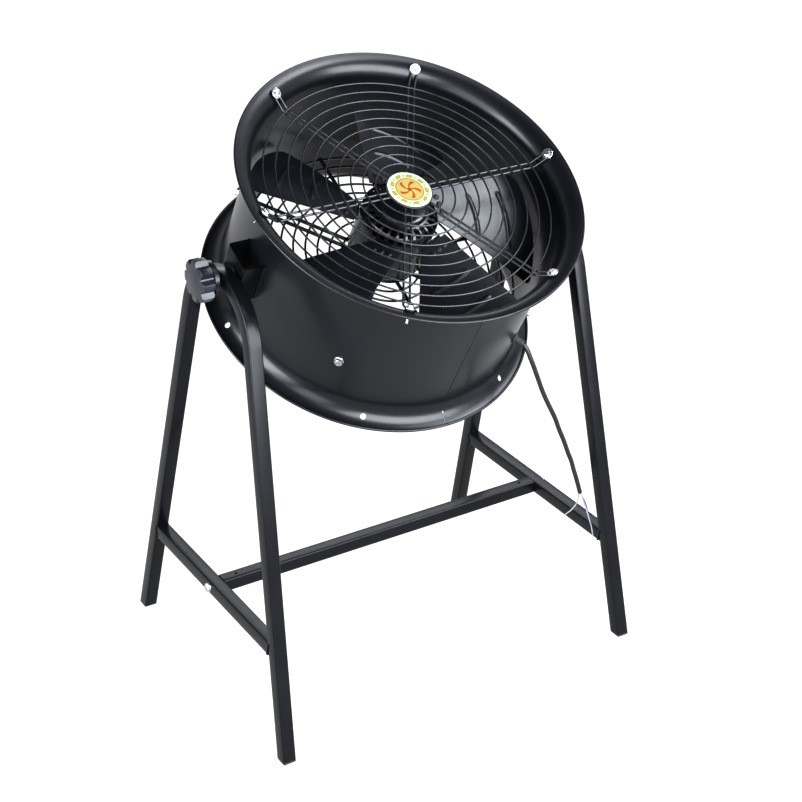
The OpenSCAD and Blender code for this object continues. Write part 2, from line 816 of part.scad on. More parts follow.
// Rotor
module rotor_case() {
    color("#1b1b1f")
    at_drum()
    difference() {
        rotate_extrude() {
            translate([case_in, rotor_rear]) square([rotor_wall, rotor_front - rotor_rear - rotor_wall]);
            polygon([
                [shaft_d / 2, rotor_front - rotor_wall - boss_len], [boss_r, rotor_front - rotor_wall - boss_len],
                [boss_r, rotor_front - rotor_wall], [rotor_r, rotor_front - rotor_wall],
                [rotor_r - 1, rotor_front - 2], [rotor_r - 3, rotor_front],
                [nose_r, rotor_front], [nose_r - 3, rotor_front + nose_h - 1],
                [nose_r - 6, rotor_front + nose_h], [0, rotor_front + nose_h], [0, rotor_front],
                [shaft_d / 2, rotor_front]
            ]);
        }
        for (k = [0 : slot_count - 1])
            rotate([0, 0, (k + 0.5) * 360 / slot_count])
            translate([0, 0, rotor_front - rotor_wall - eps])
            linear_extrude(rotor_wall + 2 * eps) {
                translate([slot_in + slot_w / 2, 0]) circle(d = slot_w, $fn = 32);
                translate([slot_in + slot_w / 2, -slot_w / 2]) square([slot_out - slot_in - slot_w / 2, slot_w]);
            }
    }
}
module rotor_ring() {
    color("#6d6f73")
    at_drum() translate([0, 0, core_s - 2])
    difference() {
        cylinder(r = case_in, h = core_len + 4);
        translate([0, 0, -eps]) cylinder(r = core_r + air_gap, h = core_len + 4 + 2 * eps);
    }
}
module shaft() {
    color("#c9cbce")
    at_drum() translate([0, 0, mflange_s + cap_t + 2])
    cylinder(d = shaft_d, h = rotor_front - mflange_s - cap_t - 2);
}

// Impeller: sheet blades riveted to brackets on the motor case
module curved_sheet(under, t) {
    translate([0, arc_c[0], arc_c[1]]) rotate([0, 90, 0])
    difference() {
        cylinder(r = blade_curve - under, h = far, $fn = 180);
        translate([0, 0, -eps]) cylinder(r = blade_curve - under - t, h = far, $fn = 180);
    }
}
module rivet_places() {
    for (y = rivet_y)
        translate([rivet_x, arc_c[0], arc_c[1]]) rotate([-arc_angle(y), 0, 0]) translate([0, 0, blade_curve]) children();
}
// What a rounded corner takes off: the corner beyond a circle that touches an edge and the tip's arc
module off_corner(c, n) {
    edge = -tip_round * n;
    arc = c * tip_round / (tip_r - tip_round);
    translate([c[0], c[1], -far / 2])
    difference() {
        linear_extrude(far) polygon([[0, 0], 1.3 * edge, 1.8 * (edge + arc), 1.3 * arc]);
        translate([0, 0, -eps]) cylinder(r = tip_round + tip_ease, h = far + 2 * eps);
    }
}
module blade(k) {
    color("#2b2b30")
    at_drum() rotate([0, 0, (k - 1) * 360 / blade_count])
    difference() {
        intersection() {
            curved_sheet(0, blade_t);
            translate([0, 0, blade_rear - 20])
            linear_extrude(blade_front - blade_rear + 60)
            intersection() {
                circle(tip_r, $fn = 180);
                polygon([
                    [root_x, edge_off], [tip_r, edge_off], [tip_r, -edge_rear / 2],
                    rear_tip, rear_root, [root_x, -18]
                ]);
            }
        }
        off_corner(tip_corner([0, edge_off], front_in, [1, 0]), front_in);
        off_corner(tip_corner(rear_root, rear_in, rear_d), rear_in);
        rivet_places() cylinder(r = rivet_d / 2 + fit, h = 20, center = true);
    }
}
module blade_1() { blade(1); }
module blade_2() { blade(2); }
module blade_3() { blade(3); }
module blade_4() { blade(4); }
module blade_5() { blade(5); }
module blade_brackets() {
    color("#1b1b1f")
    at_drum()
    for (k = [0 : blade_count - 1])
        rotate([0, 0, k * 360 / blade_count])
        difference() {
            intersection() {
                curved_sheet(blade_t + fit, bracket_sheet);
                translate([0, bracket_y[0], blade_rear])
                    cube([bracket_tip, bracket_y[1] - bracket_y[0], far]);
            }
            translate([0, 0, -far / 2]) cylinder(r = bracket_root, h = far);
            rivet_places() cylinder(r = rivet_d / 2 + fit, h = 20, center = true);
        }
}
module blade_rivets() {
    grip = blade_t + fit + bracket_sheet;
    color("silver")
    at_drum()
    for (k = [0 : blade_count - 1])
        rotate([0, 0, k * 360 / blade_count])
        rivet_places() {
            translate([0, 0, -grip - fit]) cylinder(d = rivet_d, h = grip + 2 * fit);
            translate([0, 0, fit]) cylinder(d = 1.8 * rivet_d, h = 2);
            translate([0, 0, -grip - fit - 2]) cylinder(d = 1.8 * rivet_d, h = 2);
        }
}

// Cable
module at_cable() {
    rotate([0, 0, cable_at]) translate([wall_r, 0, cable_s]) rotate([0, 90, 0]) children();
}
module cable_sleeve() {
    color("#2c2c2c")
    at_drum() at_cable()
    difference() {
        union() {
            translate([0, 0, seat]) cylinder(r1 = cable_d / 2 + 3.5, r2 = cable_d / 2 + 1, h = sleeve_len);
            translate([0, 0, -sheet - 3]) cylinder(r = cable_d / 2 + 2 - fit, h = sheet + 4);
            translate([0, 0, seat]) cylinder(r = cable_d / 2 + 5, h = 3);
            translate([0, 0, -sheet - 4]) cylinder(r = cable_d / 2 + 4, h = 3);
        }
        translate([0, 0, -sheet - 8]) cylinder(r = cable_d / 2 + fit, h = sleeve_len + 2 * sheet + 20);
    }
}
module motor_lead() {
    u = [cos(lead_at), sin(lead_at), 0];
    v = [sin(lead_at), -cos(lead_at), 0];
    color("#3a3d38")
    at_drum() swept_tube([for (p = lead_route) p[0] * u + p[1] * v + [0, 0, p[2]]], lead_d, 8);
}
module cable() {
    color("#3a3d38") swept_tube(cable_route, cable_d, 10);
}
module core_wires() {
    for (i = [0 : len(core_routes) - 1])
        color(core_colours[i]) swept_tube(core_routes[i], core_d, 8);
}

left_frame();
right_frame();
left_crossbar();
right_crossbar();
stretcher();
stretcher_blocks();
stretcher_bolts();
stretcher_washers();
foot_plugs();
pivot_wedges();
left_clamp_washer();
left_knob();
left_stud();
right_clamp_washer();
right_knob();
right_stud();
duct_shell();
left_bracket();
right_bracket();
bracket_nuts();
front_guard_rings();
front_guard_arms();
badge_plate();
badge();
front_guard_bolts();
front_guard_washers();
front_guard_nuts();
motor_guard_rings();
motor_guard_arms();
motor_guard_spokes();
motor_guard_feet();
foot_bolts();
foot_bolt_nuts();
motor_plate();
motor_flange();
motor_screws();
motor_rear_cap();
stator_core();
stator_windings();
rear_bearing();
front_bearing();
motor_lead();
cable_sleeve();
rotor_case();
rotor_ring();
shaft();
blade_1();
blade_2();
blade_3();
blade_4();
blade_5();
blade_brackets();
blade_rivets();
cable();
core_wires();
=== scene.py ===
from math import asin, atan2, cos, hypot, pi, radians, sin, sqrt, tan, tau

import bmesh
import bpy
from mathutils import Matrix, Vector


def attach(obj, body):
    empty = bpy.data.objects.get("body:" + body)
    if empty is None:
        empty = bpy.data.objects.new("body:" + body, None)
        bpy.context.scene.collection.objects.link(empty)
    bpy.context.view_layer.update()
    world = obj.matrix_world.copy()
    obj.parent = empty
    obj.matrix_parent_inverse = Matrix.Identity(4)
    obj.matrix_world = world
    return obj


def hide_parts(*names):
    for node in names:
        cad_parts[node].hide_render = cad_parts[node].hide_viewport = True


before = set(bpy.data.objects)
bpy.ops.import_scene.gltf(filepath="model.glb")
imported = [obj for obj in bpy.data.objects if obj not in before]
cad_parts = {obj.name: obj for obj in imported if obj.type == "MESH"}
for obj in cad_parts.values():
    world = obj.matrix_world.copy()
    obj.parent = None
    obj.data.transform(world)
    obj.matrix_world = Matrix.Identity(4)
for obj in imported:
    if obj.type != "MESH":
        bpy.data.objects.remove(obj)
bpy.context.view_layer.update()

# Camera
# It stands in front of the fan, a little to its left and well above it, as a person
# photographing a product on a studio floor would hold it, with a short telephoto lens.
camera_spot = (-1.54675, -2.40509, 2.00623)
camera_yaw = radians(33.28)
camera_pitch = radians(28.01)
camera_roll = radians(1.48)
camera_lens = 78.61
bpy.ops.object.select_all(action="DESELECT")
bpy.ops.object.camera_add()
camera = bpy.context.object
camera.name = "camera"
camera.data.lens = camera_lens
camera.matrix_world = (
    Matrix.Translation(camera_spot)
    @ Matrix.Rotation(-camera_yaw, 4, "Z")
    @ Matrix.Rotation(pi / 2 - camera_pitch, 4, "X")
    @ Matrix.Rotation(camera_roll, 4, "Z")
)
bpy.context.scene.camera = camera


# Mains cable and its cores
# A round three-core lead leaves the duct through a rubber sleeve, hangs down beside the right
# frame and ends bare: the sheath is stripped back and the three coloured cores fan out.
cable_diameter = 0.0085
cable_route = [
    (161.5, -193.3, 644.8), (166, -199, 634), (171, -203, 619), (179, -205, 599), (184, -205, 587),
    (190, -204, 574), (202, -202, 548), (209, -201, 534), (217, -200, 519), (226, -199, 503),
    (235, -198, 487), (244, -197, 470), (252, -196, 452), (260, -195, 436), (268, -195, 419),
    (282, -195, 386), (289, -196, 370), (294, -197, 354), (304, -199, 324), (313, -200, 296),
]
core_diameter = 0.0026
core_routes = {
    "khaki": [
        (310.9, -200.2, 294.8), (309.5, -201, 287), (306, -202, 278), (299, -203, 270),
        (288, -204, 264), (275, -205, 260),
    ],
    "blue": [
        (314.6, -198.2, 295.9), (319, -197.8, 287), (325, -198, 276), (331, -199, 263),
        (334.5, -200, 250), (336, -201, 238),
    ],
    "lilac": [
        (313.4, -202.2, 295.9), (317.5, -203.4, 283), (323, -205, 268), (329, -207.5, 250),
        (335, -210, 230), (339.5, -213, 212), (342, -215, 196),
    ],
}
core_colours = {"khaki": "#5e5c53", "blue": "#2a2e48", "lilac": "#6b6a78"}


def linear(hex_colour):
    """An sRGB colour such as #aabbcc as the linear values that the nodes take"""
    parts = [int(hex_colour[i:i + 2], 16) / 255 for i in (1, 3, 5)]
    return (*[c / 12.92 if c <= 0.04045 else ((c + 0.055) / 1.055) ** 2.4 for c in parts], 1)


def add(material, kind, sockets=None, **settings):
    """Adds a node to a material; a socket takes a value or another node's output"""
    node = material.node_tree.nodes.new(kind)
    for name, value in settings.items():
        setattr(node, name, value)
    for name, value in (sockets or {}).items():
        if isinstance(value, bpy.types.NodeSocket):
            material.node_tree.links.new(value, node.inputs[name])
        else:
            node.inputs[name].default_value = value
    return node


def set_stops(ramp, stops):
    """Sets the stops of a colour ramp, each a position and a linear colour"""
    for position, colour in stops[2:]:
        ramp.color_ramp.elements.new(position)
    for element, (position, colour) in zip(ramp.color_ramp.elements, stops):
        element.position = position
        element.color = colour


def finish(name, colours, patch, roughness, grain, relief, **sockets):
    """A surface whose colour and roughness drift over patches and whose grain stands up; mm"""
    material = bpy.data.materials.new(name)
    material.use_nodes = True
    shader = material.node_tree.nodes["Principled BSDF"]
    for socket, value in sockets.items():
        shader.inputs[socket.replace("_", " ")].default_value = value
    spot = add(material, "ShaderNodeTexCoord").outputs["Object"]
    patches = add(material, "ShaderNodeTexNoise", {"Vector": spot, "Scale": 1000 / patch, "Detail": 4.0})
    tint = add(material, "ShaderNodeValToRGB", {"Fac": patches.outputs["Fac"]})
    set_stops(tint, [(0.3, linear(colours[0])), (0.7, linear(colours[1]))])
    gloss = add(material, "ShaderNodeMapRange", {
        "Value": patches.outputs["Fac"], "From Min": 0.3, "From Max": 0.7,
        "To Min": roughness[0], "To Max": roughness[1],
    })
    grains = add(material, "ShaderNodeTexNoise", {"Vector": spot, "Scale": 1000 / grain, "Detail": 2.0})
    bump = add(material, "ShaderNodeBump", {
        "Height": grains.outputs["Fac"], "Distance": relief / 1000, "Strength": 0.6,
    })
    links = material.node_tree.links
    links.new(tint.outputs["Color"], shader.inputs["Base Color"])
    links.new(gloss.outputs["Result"], shader.inputs["Roughness"])
    links.new(bump.outputs["Normal"], shader.inputs["Normal"])
    return material


def belong(piece, body, slot, *nodes):
    """Hangs a piece on the body that carries it and hides the CAD nodes it stands for; the slot is not used
    """
    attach(piece, body)
    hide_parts(*nodes)


def laid_line(name, route, diameter, material):
    """A round cord along a route in millimetres"""
    curve = bpy.data.curves.new(name, "CURVE")
    curve.dimensions = "3D"
    curve.bevel_depth = diameter / 2
    curve.bevel_resolution = 4
    curve.use_fill_caps = True
    curve.resolution_u = 6
    line = curve.splines.new("BEZIER")
    line.bezier_points.add(len(route) - 1)
    for point, spot in zip(line.bezier_points, route):
        point.co = Vector(spot) / 1000
        point.handle_left_type = point.handle_right_type = "AUTO"
    curve.materials.append(material)
    cord = bpy.data.objects.new(name, curve)
    bpy.context.collection.objects.link(cord)
    return cord


# PVC sheath, extruded: matte dark grey with a green cast, scuffed in long patches
pvc_sheath = finish(
    "pvc_sheath", ("#080908", "#0d0f0d"), 14, (0.42, 0.58), 1.6, 0.12,
    IOR=1.52, Specular_IOR_Level=0.35,
)
for colour, route in core_routes.items():
    # PVC insulation of one core: thin, smooth and slightly glossy
    ink = core_colours[colour]
    insulation = finish("pvc_core_" + colour, (ink, ink), 9, (0.3, 0.42), 1.2, 0.05, IOR=1.52)
    core = laid_line("core_" + colour, route, core_diameter, insulation)
    belong(core, "drum", "core_insulation", "core_wires")
cable = laid_line("mains_cable", cable_route, cable_diameter, pvc_sheath)
belong(cable, "drum", "cable_sheath", "cable")


# Frames
# Each side of the stand is one length of 25 mm square steel tube, bent over a former into an
# arch with two splayed legs, cut level at the floor, leant inwards and powder coated black.
pivot = Vector((0, 0, 0.811))
tube = 0.025
tube_corner = 0.0026
arch_radius = 0.114
leg_splay = radians(13.25)
leg_length = 0.8
lean = radians(3)
frame_x = 0.331
foot_height = 0.003
level = Matrix.Identity(4)
across = Matrix.Scale(-1, 4, (1, 0, 0))
# The right side as it stands, and the left one as its mirror
hands = {"right": level, "left": across}


def at(x, y, z):
    """A shift along the three axes"""
    return Matrix.Translation((x, y, z))


def begin(name, primitive, **settings):
    """Adds one primitive under the piece's own name, with nothing else selected"""
    bpy.ops.object.select_all(action="DESELECT")
    primitive(**settings)
    piece = bpy.context.object
    piece.name = piece.data.name = name
    return piece


def take(*pieces):
    """Selects these pieces and nothing else, the first one active"""
    bpy.ops.object.select_all(action="DESELECT")
    for piece in pieces:
        piece.select_set(True)
    bpy.context.view_layer.objects.active = pieces[0]


def place(piece, matrix=level):
    """Moves a piece and puts its place into its mesh"""
    take(piece)
    piece.matrix_world = matrix @ piece.matrix_world
    bpy.ops.object.transform_apply(location=True, rotation=True, scale=True)
    return piece


def open_up(piece):
    """Takes a piece into edit mode, by its points, with all of it selected"""
    take(piece)
    bpy.ops.object.mode_set(mode="EDIT")
    bpy.ops.mesh.select_mode(type="VERT")
    bpy.ops.mesh.select_all(action="SELECT")
    return piece


def close_up(piece):
    """Merges doubled points and turns the faces outwards"""
    open_up(piece)
    bpy.ops.mesh.remove_doubles(threshold=0.000005)
    bpy.ops.mesh.normals_make_consistent(inside=False)
    bpy.ops.object.mode_set(mode="OBJECT")
    return piece


def trim(piece, spot, normal):
    """Cuts off what lies beyond a plane and closes the cut"""
    open_up(piece)
    bpy.ops.mesh.bisect(plane_co=spot, plane_no=normal, use_fill=True, clear_outer=True)
    bpy.ops.object.mode_set(mode="OBJECT")
    return piece


def modify(piece, kind, **settings):
    """Adds a modifier, sets it and applies it"""
    take(piece)
    modifier = piece.modifiers.new(kind.lower(), kind)
    for name, value in settings.items():
        setattr(modifier, name, value)
    bpy.ops.object.modifier_apply(modifier=modifier.name)
    return piece


def draw_out(step):
    """Extrudes what is selected along a step"""
    bpy.ops.mesh.extrude_region_move(TRANSFORM_OT_translate={"value": step[:]})


def double(piece, name):
    """A copy of a piece, with its own mesh"""
    take(piece)
    bpy.ops.object.duplicate()
    copy = bpy.context.object
    copy.name = copy.data.name = name
    return copy


def coat(piece, material):
    """Gives a piece its one material"""
    piece.data.materials.clear()
    piece.data.materials.append(material)


def dress(piece, material, angle=35):
    """Gives a piece its material and smooths its shading below an angle in degrees"""
    coat(piece, material)
    take(piece)
    bpy.ops.object.shade_smooth_by_angle(angle=radians(angle))
    return piece


def square_ring(name, size, corner):
    """The outline of a square tube with rounded corners, left in edit mode"""
    piece = open_up(begin(name, bpy.ops.mesh.primitive_plane_add, size=size))
    bpy.ops.mesh.bevel(offset=corner, segments=4, affect="VERTICES")
    bpy.ops.mesh.delete(type="ONLY_FACE")
    return piece


# Powder coat, sprayed and baked on steel: satin black with a slight blue cast and the soft
# ripple of orange peel, drawn at 2.5 mm where the real one is nearer 1 mm.
powder_coat = finish(
    "black_powder_coat", ("#07080b", "#0a0b0e"), 90, (0.26, 0.34), 2.5, 0.05,
    IOR=1.5, Specular_IOR_Level=0.13, Coat_Weight=0.1, Coat_Roughness=0.16,
)
arch_turn = pi - 2 * leg_splay
leg_way = Vector((0, sin(leg_splay), -cos(leg_splay)))
arch_foot = Vector((0, arch_radius * cos(leg_splay), arch_radius * (sin(leg_splay) - 1)))
tube_frame = square_ring("tube_frame", tube, tube_corner)
bpy.ops.object.mode_set(mode="OBJECT")
place(tube_frame, at(*(arch_foot + leg_length * leg_way)) @ Matrix.Rotation(leg_splay, 4, "X"))
open_up(tube_frame)
draw_out(-leg_length * leg_way)
# The spin tool turns clockwise about its axis, so the angle is negative
bpy.ops.mesh.spin(steps=40, angle=-arch_turn, center=(0, 0, -arch_radius), axis=(1, 0, 0))
draw_out(leg_length * Vector((0, -leg_way.y, leg_way.z)))
bpy.ops.object.mode_set(mode="OBJECT")
close_up(tube_frame)
right_place = at(frame_x, 0, pivot.z) @ Matrix.Rotation(-lean, 4, "Y")
sides = {side: hand @ right_place for side, hand in hands.items()}
feet = []
for side, spot in sides.items():
    whole = close_up(place(double(tube_frame, side + "_tube"), spot))
    foot = trim(double(whole, side + "_foot"), (0, 0, foot_height), (0, 0, 1))
    feet.append(trim(foot, (0, 0, 0), (0, 0, -1)))
    arch = trim(whole, (0, 0, foot_height), (0, 0, -1))
    dress(arch, powder_coat)
    belong(arch, "stand", "black_paint", side + "_frame")
bpy.data.objects.remove(tube_frame)


# Feet
# A moulded black plastic plug is pushed into each leg and leaves a 3 mm sole under the tube.
# Its arrises are rounded by the mould and the plastic is duller than the coating.
moulded_plastic = finish(
    "moulded_black_polypropylene", ("#101012", "#191a1c"), 30, (0.5, 0.66), 0.9, 0.06, IOR=1.49
)


def join(name, *pieces):
    """Joins pieces into the first one"""
    take(*pieces)
    if len(pieces) > 1:
        bpy.ops.object.join()
    pieces[0].name = pieces[0].data.name = name
    return pieces[0]


def soften(piece, width, angle, segments=2):
    """Rounds the edges that are sharper than an angle in degrees"""
    return modify(piece, "BEVEL", width=width, segments=segments, limit_method="ANGLE",
                  angle_limit=radians(angle))


soles = close_up(join("foot_soles", *feet))
soften(soles, 0.0006, 50)
dress(soles, moulded_plastic)
belong(soles, "stand", "black_plastic", "foot_plugs")


# Crossbars and stretcher
# A crossbar of the same tube is welded between the legs of each frame, 200 mm up, and a third
# length is bolted between the two crossbars; it has a small drilled hole near each end.
bar_height = 0.2
bar_z = -(pivot.z - bar_height) / cos(lean)
bar_blank = 0.26
stretcher_blank = 0.42
bar_end = (arch_radius - tube / 2 - (bar_z + arch_radius) * sin(leg_splay)) / cos(leg_splay)
top_hole = 0.006
top_hole_in = 0.03
bar_weld = 0.0032


def bar(name, reach):
    """A square tube along Y, from -reach to reach, with its ends open"""
    piece = square_ring(name, tube, tube_corner)
    bpy.ops.object.mode_set(mode="OBJECT")
    place(piece, at(0, -reach, 0) @ Matrix.Rotation(pi / 2, 4, "X"))
    open_up(piece)
    draw_out((0, 2 * reach, 0))
    bpy.ops.object.mode_set(mode="OBJECT")
    return close_up(piece)


def bead(name, diameter, facets=8, loop=False):
    """A round rod or weld bead along an edge path that is open in edit mode"""
    bpy.ops.object.mode_set(mode="OBJECT")
    bpy.ops.object.convert(target="CURVE")
    piece = bpy.context.object
    piece.data.bevel_depth = diameter / 2
    piece.data.bevel_resolution = max(facets // 4 - 1, 0)
    piece.data.use_fill_caps = not loop
    bpy.ops.object.convert(target="MESH")
    piece = bpy.context.object
    piece.name = piece.data.name = name
    return close_up(piece)


def drill(width, depth, spot, facets=32):
    """A round cutter along Z, its middle at a spot"""
    return place(begin(
        "drill", bpy.ops.mesh.primitive_cylinder_add, vertices=facets, radius=width / 2, depth=depth
    ), spot)


def cut(piece, cutters, **settings):
    """Cuts the joined cutters out of a piece and drops them"""
    cutter = join("cutter", *cutters)
    modify(piece, "BOOLEAN", operation="DIFFERENCE", object=cutter, **settings)
    bpy.data.objects.remove(cutter)


for side, spot in sides.items():
    crossbar = bar(side + "_crossbar_tube", bar_blank)
    place(crossbar, at(0, 0, bar_z))
    for way in (1, -1):
        trim(crossbar, (0, way * bar_end, bar_z), (0, way * cos(leg_splay), sin(leg_splay)))
    welds = []
    for way in (1, -1):
        # The weld runs round the tube where it meets the leg's inner face
        square_ring("weld", tube + 0.0008, tube_corner)
        weld = bead("weld", bar_weld, loop=True)
        tip = Matrix.Rotation(-way * leg_splay, 4, "X") @ Matrix.Rotation(pi / 2, 4, "X")
        stretch = Matrix.Scale(1 / cos(leg_splay), 4, (0, 0, 1))
        welds.append(place(weld, at(0, way * (bar_end - 0.0006), bar_z) @ stretch @ tip))
    crossbar = join(crossbar.name, crossbar, *welds)
    close_up(place(crossbar, spot))
    dress(crossbar, powder_coat)
    belong(crossbar, "stand", "black_paint", side + "_crossbar")

stretcher = place(bar("stretcher_tube", stretcher_blank), Matrix.Rotation(pi / 2, 4, "Z"))
place(stretcher, at(0, 0, bar_height))
bar_face = right_place @ Vector((-tube / 2, 0, bar_z))
face_way = right_place.to_3x3() @ Vector((1, 0, 0))
hole_x = frame_x + (pivot.z - bar_height) * tan(lean) - tube / 2 - top_hole_in
for way in (1, -1):
    trim(stretcher, (way * bar_face.x, bar_face.y, bar_face.z), (way * face_way.x, face_way.y, face_way.z))
for way in (1, -1):
    cut(stretcher, [drill(top_hole, 0.02, at(way * hole_x, 0, bar_height + tube / 2))])
dress(stretcher, powder_coat)
belong(stretcher, "stand", "black_paint", "stretcher")


# Bolts of the stretcher
# An M8 hexagon bolt with a flat washer goes through each crossbar into a threaded steel block
# inside the stretcher. Head and washer are bright zinc plated.
bar_bolt = 0.008
bar_bolt_head = 0.65 * bar_bolt
bar_washer_thick = 0.0016


def walk(name, points):
    """A path of edges from point to point, left in edit mode"""
    piece = open_up(begin(name, bpy.ops.mesh.primitive_plane_add, size=0.001))
    bpy.ops.mesh.merge(type="CENTER")
    bpy.ops.transform.translate(value=points[0])
    for here, there in zip(points, points[1:]):
        draw_out([b - a for a, b in zip(here, there)])
    return piece


def turned(name, outline, steps, lift=0):
    """A piece turned round Z from its outline of radius and height, all of it lifted so far"""
    piece = walk(name, [(radius, 0, height + lift) for radius, height in outline])
    bpy.ops.mesh.select_all(action="SELECT")
    bpy.ops.mesh.spin(steps=steps, angle=tau, center=(0, 0, 0), axis=(0, 0, 1))
    bpy.ops.object.mode_set(mode="OBJECT")
    return close_up(piece)


def washer(name, inner, outer, thick):
    """A stamped washer that lies on Z = 0, its edges slightly rounded"""
    soft = min(0.0004, thick / 4)
    return turned(name, [
        (inner, 0), (outer - soft, 0), (outer, soft), (outer, thick - soft), (outer - soft, thick),
        (inner + soft, thick), (inner, thick - soft), (inner, 0),
    ], 48)


def hexagon(name, across_flats, height):
    """A hexagon on Z = 0 whose top corners are turned down to a cone, as on a bolt or nut"""
    corner = across_flats / sqrt(3)
    flat_top = 0.47 * across_flats
    cone_low = height - (corner - flat_top) * tan(radians(30))
    piece = begin(name, bpy.ops.mesh.primitive_cylinder_add, vertices=6, radius=corner, depth=height,
                  location=(0, 0, height / 2))
    place(piece)
    cone = turned("cone", [
        (0, -0.001), (corner + 0.001, -0.001), (corner + 0.001, cone_low), (corner, cone_low),
        (flat_top, height), (0, height),
    ], 48)
    modify(piece, "BOOLEAN", operation="INTERSECT", object=cone)
    bpy.data.objects.remove(cone)
    return piece


def thread(name, diameter, low, high, pitch):
    """A threaded shank along Z, its thread as rings at the real pitch"""
    root = diameter / 2 - 0.6 * pitch
    outline = [(0, low), (root, low)]
    for i in range(int((high - low) / pitch)):
        outline += [(diameter / 2, low + (i + 0.5) * pitch), (root, low + (i + 1) * pitch)]
    return turned(name, outline + [(root, high), (0, high)], 24)


def repeat(piece, places):
    """Copies a piece to each place, joins the copies and drops the first one"""
    name = piece.name
    copies = [place(double(piece, name + "_copy"), matrix) for matrix in places]
    bpy.data.objects.remove(piece)
    whole = join(name, *copies)
    if any(matrix.determinant() < 0 for matrix in places):
        close_up(whole)
    return whole


# Bright zinc plate on pressed steel: pale, faintly blue, cloudy where the bath took unevenly
zinc_plate = finish("bright_zinc_plate", ("#a3a6a9", "#bfc1c3"), 7, (0.2, 0.38), 1.5, 0.04, Metallic=1.0)
bolt = join(
    "stretcher_bolt",
    place(hexagon("head", 1.625 * bar_bolt, bar_bolt_head), at(0, 0, bar_washer_thick)),
    washer("ring", bar_bolt / 2, 1.05 * bar_bolt, bar_washer_thick),
)
outwards = Matrix.Rotation(pi / 2, 4, "Y")
bolt_spot = at(tube / 2, 0, bar_z) @ outwards
bolts = repeat(bolt, [spot @ bolt_spot for spot in sides.values()])
dress(bolts, zinc_plate, 30)
belong(bolts, "stand", "zinc", "stretcher_bolts", "stretcher_washers")

# Turned mild steel, oiled and not plated, hidden in the ends of the stretcher
turned_steel = finish("turned_steel", ("#7c7d80", "#94959a"), 12, (0.28, 0.4), 1.1, 0.04, Metallic=1.0)
coat(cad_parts["stretcher_blocks"], turned_steel)


# Washers, knobs and studs of the clamps
# On each side a wedge-shaped plastic washer takes up the frame's lean, and a flat washer and a
# large lobed knob, moulded round an M10 stud, clamp the duct's bracket against the frame.
clamp_washer = 0.032
flat_washer_thick = 0.002
stud = 0.01
stud_pitch = 0.0015
seat = 0.0003
washer_x = frame_x + tube / 2 + 0.0035 + seat
knob_x = washer_x + flat_washer_thick + seat
stud_inner = 0.298
stud_outer = knob_x + 0.021
knob_diameter = 0.076
knob_length = 0.035
knob_collar = 0.011
knob_lobes = 8
# Each notch between two lobes: 3 mm wide at its floor, eight times as wide outside the rim
notch_floor = 0.029
notch_deep = 0.012
notch_width = 0.003
notch_spread = 8.4


def pick(piece, mode, chosen):
    """Selects, in edit mode, only the points, edges or faces that are wanted"""
    bpy.ops.mesh.select_mode(type=mode)
    bpy.ops.mesh.select_all(action="DESELECT")
    mesh = bmesh.from_edit_mesh(piece.data)
    for part in {"VERT": mesh.verts, "EDGE": mesh.edges, "FACE": mesh.faces}[mode]:
        part.select_set(chosen(part))


# Phenolic or filled nylon, moulded: deep blue-black, glossier on the flat front than a matte grip
knob_moulding = finish(
    "moulded_knob_plastic", ("#0f1016", "#171920"), 26, (0.26, 0.36), 1.8, 0.05,
    IOR=1.5, Specular_IOR_Level=0.3, Coat_Weight=0.1, Coat_Roughness=0.14,
)
coat(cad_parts["pivot_wedges"], moulded_plastic)

knob_radius = knob_diameter / 2
knob = turned("knob", [
    (0, 0), (0.0285, 0), (0.03, 0.0015), (0.03, knob_collar), (knob_radius - 0.003, knob_collar),
    (knob_radius, knob_collar + 0.003), (knob_radius, knob_length - 0.004),
    (knob_radius - 0.0012, knob_length - 0.0014), (knob_radius - 0.004, knob_length),
    (0.024, knob_length + 0.0004), (0.0155, knob_length + 0.0012), (0.008, knob_length + 0.0018),
    (0, knob_length + 0.002),
], 128)
notches = []
for k in range(knob_lobes):
    notch = begin("notch", bpy.ops.mesh.primitive_cube_add, size=1)
    bpy.ops.object.mode_set(mode="EDIT")
    pick(notch, "FACE", lambda face: face.normal.x > 0.9)
    bpy.ops.transform.resize(value=(1, notch_spread, 1))
    bpy.ops.object.mode_set(mode="OBJECT")
    size = Matrix.Diagonal((notch_deep, notch_width, 0.06, 1))
    spot = at(notch_floor + notch_deep / 2, 0, knob_collar + 0.03)
    place(notch, Matrix.Rotation((k + 0.5) * tau / knob_lobes, 4, "Z") @ spot @ size)
    notches.append(soften(notch, 0.0008, 30, 3))
cut(knob, notches)
soften(knob, 0.0011, 40, 3)
for side, hand in hands.items():
    axle = hand @ at(0, 0, pivot.z)

    grip = close_up(place(double(knob, side + "_grip"), axle @ at(knob_x, 0, 0) @ outwards))
    dress(grip, knob_moulding, 32)
    belong(grip, side + "_clamp_screw", "knob_plastic", side + "_knob")

    screw = thread(side + "_clamp_stud", stud, stud_inner, stud_outer, stud_pitch)
    close_up(place(screw, axle @ outwards))
    dress(screw, zinc_plate, 20)
    belong(screw, side + "_clamp_screw", "zinc", side + "_stud")

    flat = washer(side + "_flat_washer", stud / 2, clamp_washer / 2, flat_washer_thick)
    close_up(place(flat, axle @ at(washer_x, 0, 0) @ outwards))
    dress(flat, zinc_plate)
    belong(flat, side + "_clamp_slide", "zinc", side + "_clamp_washer")
bpy.data.objects.remove(knob)


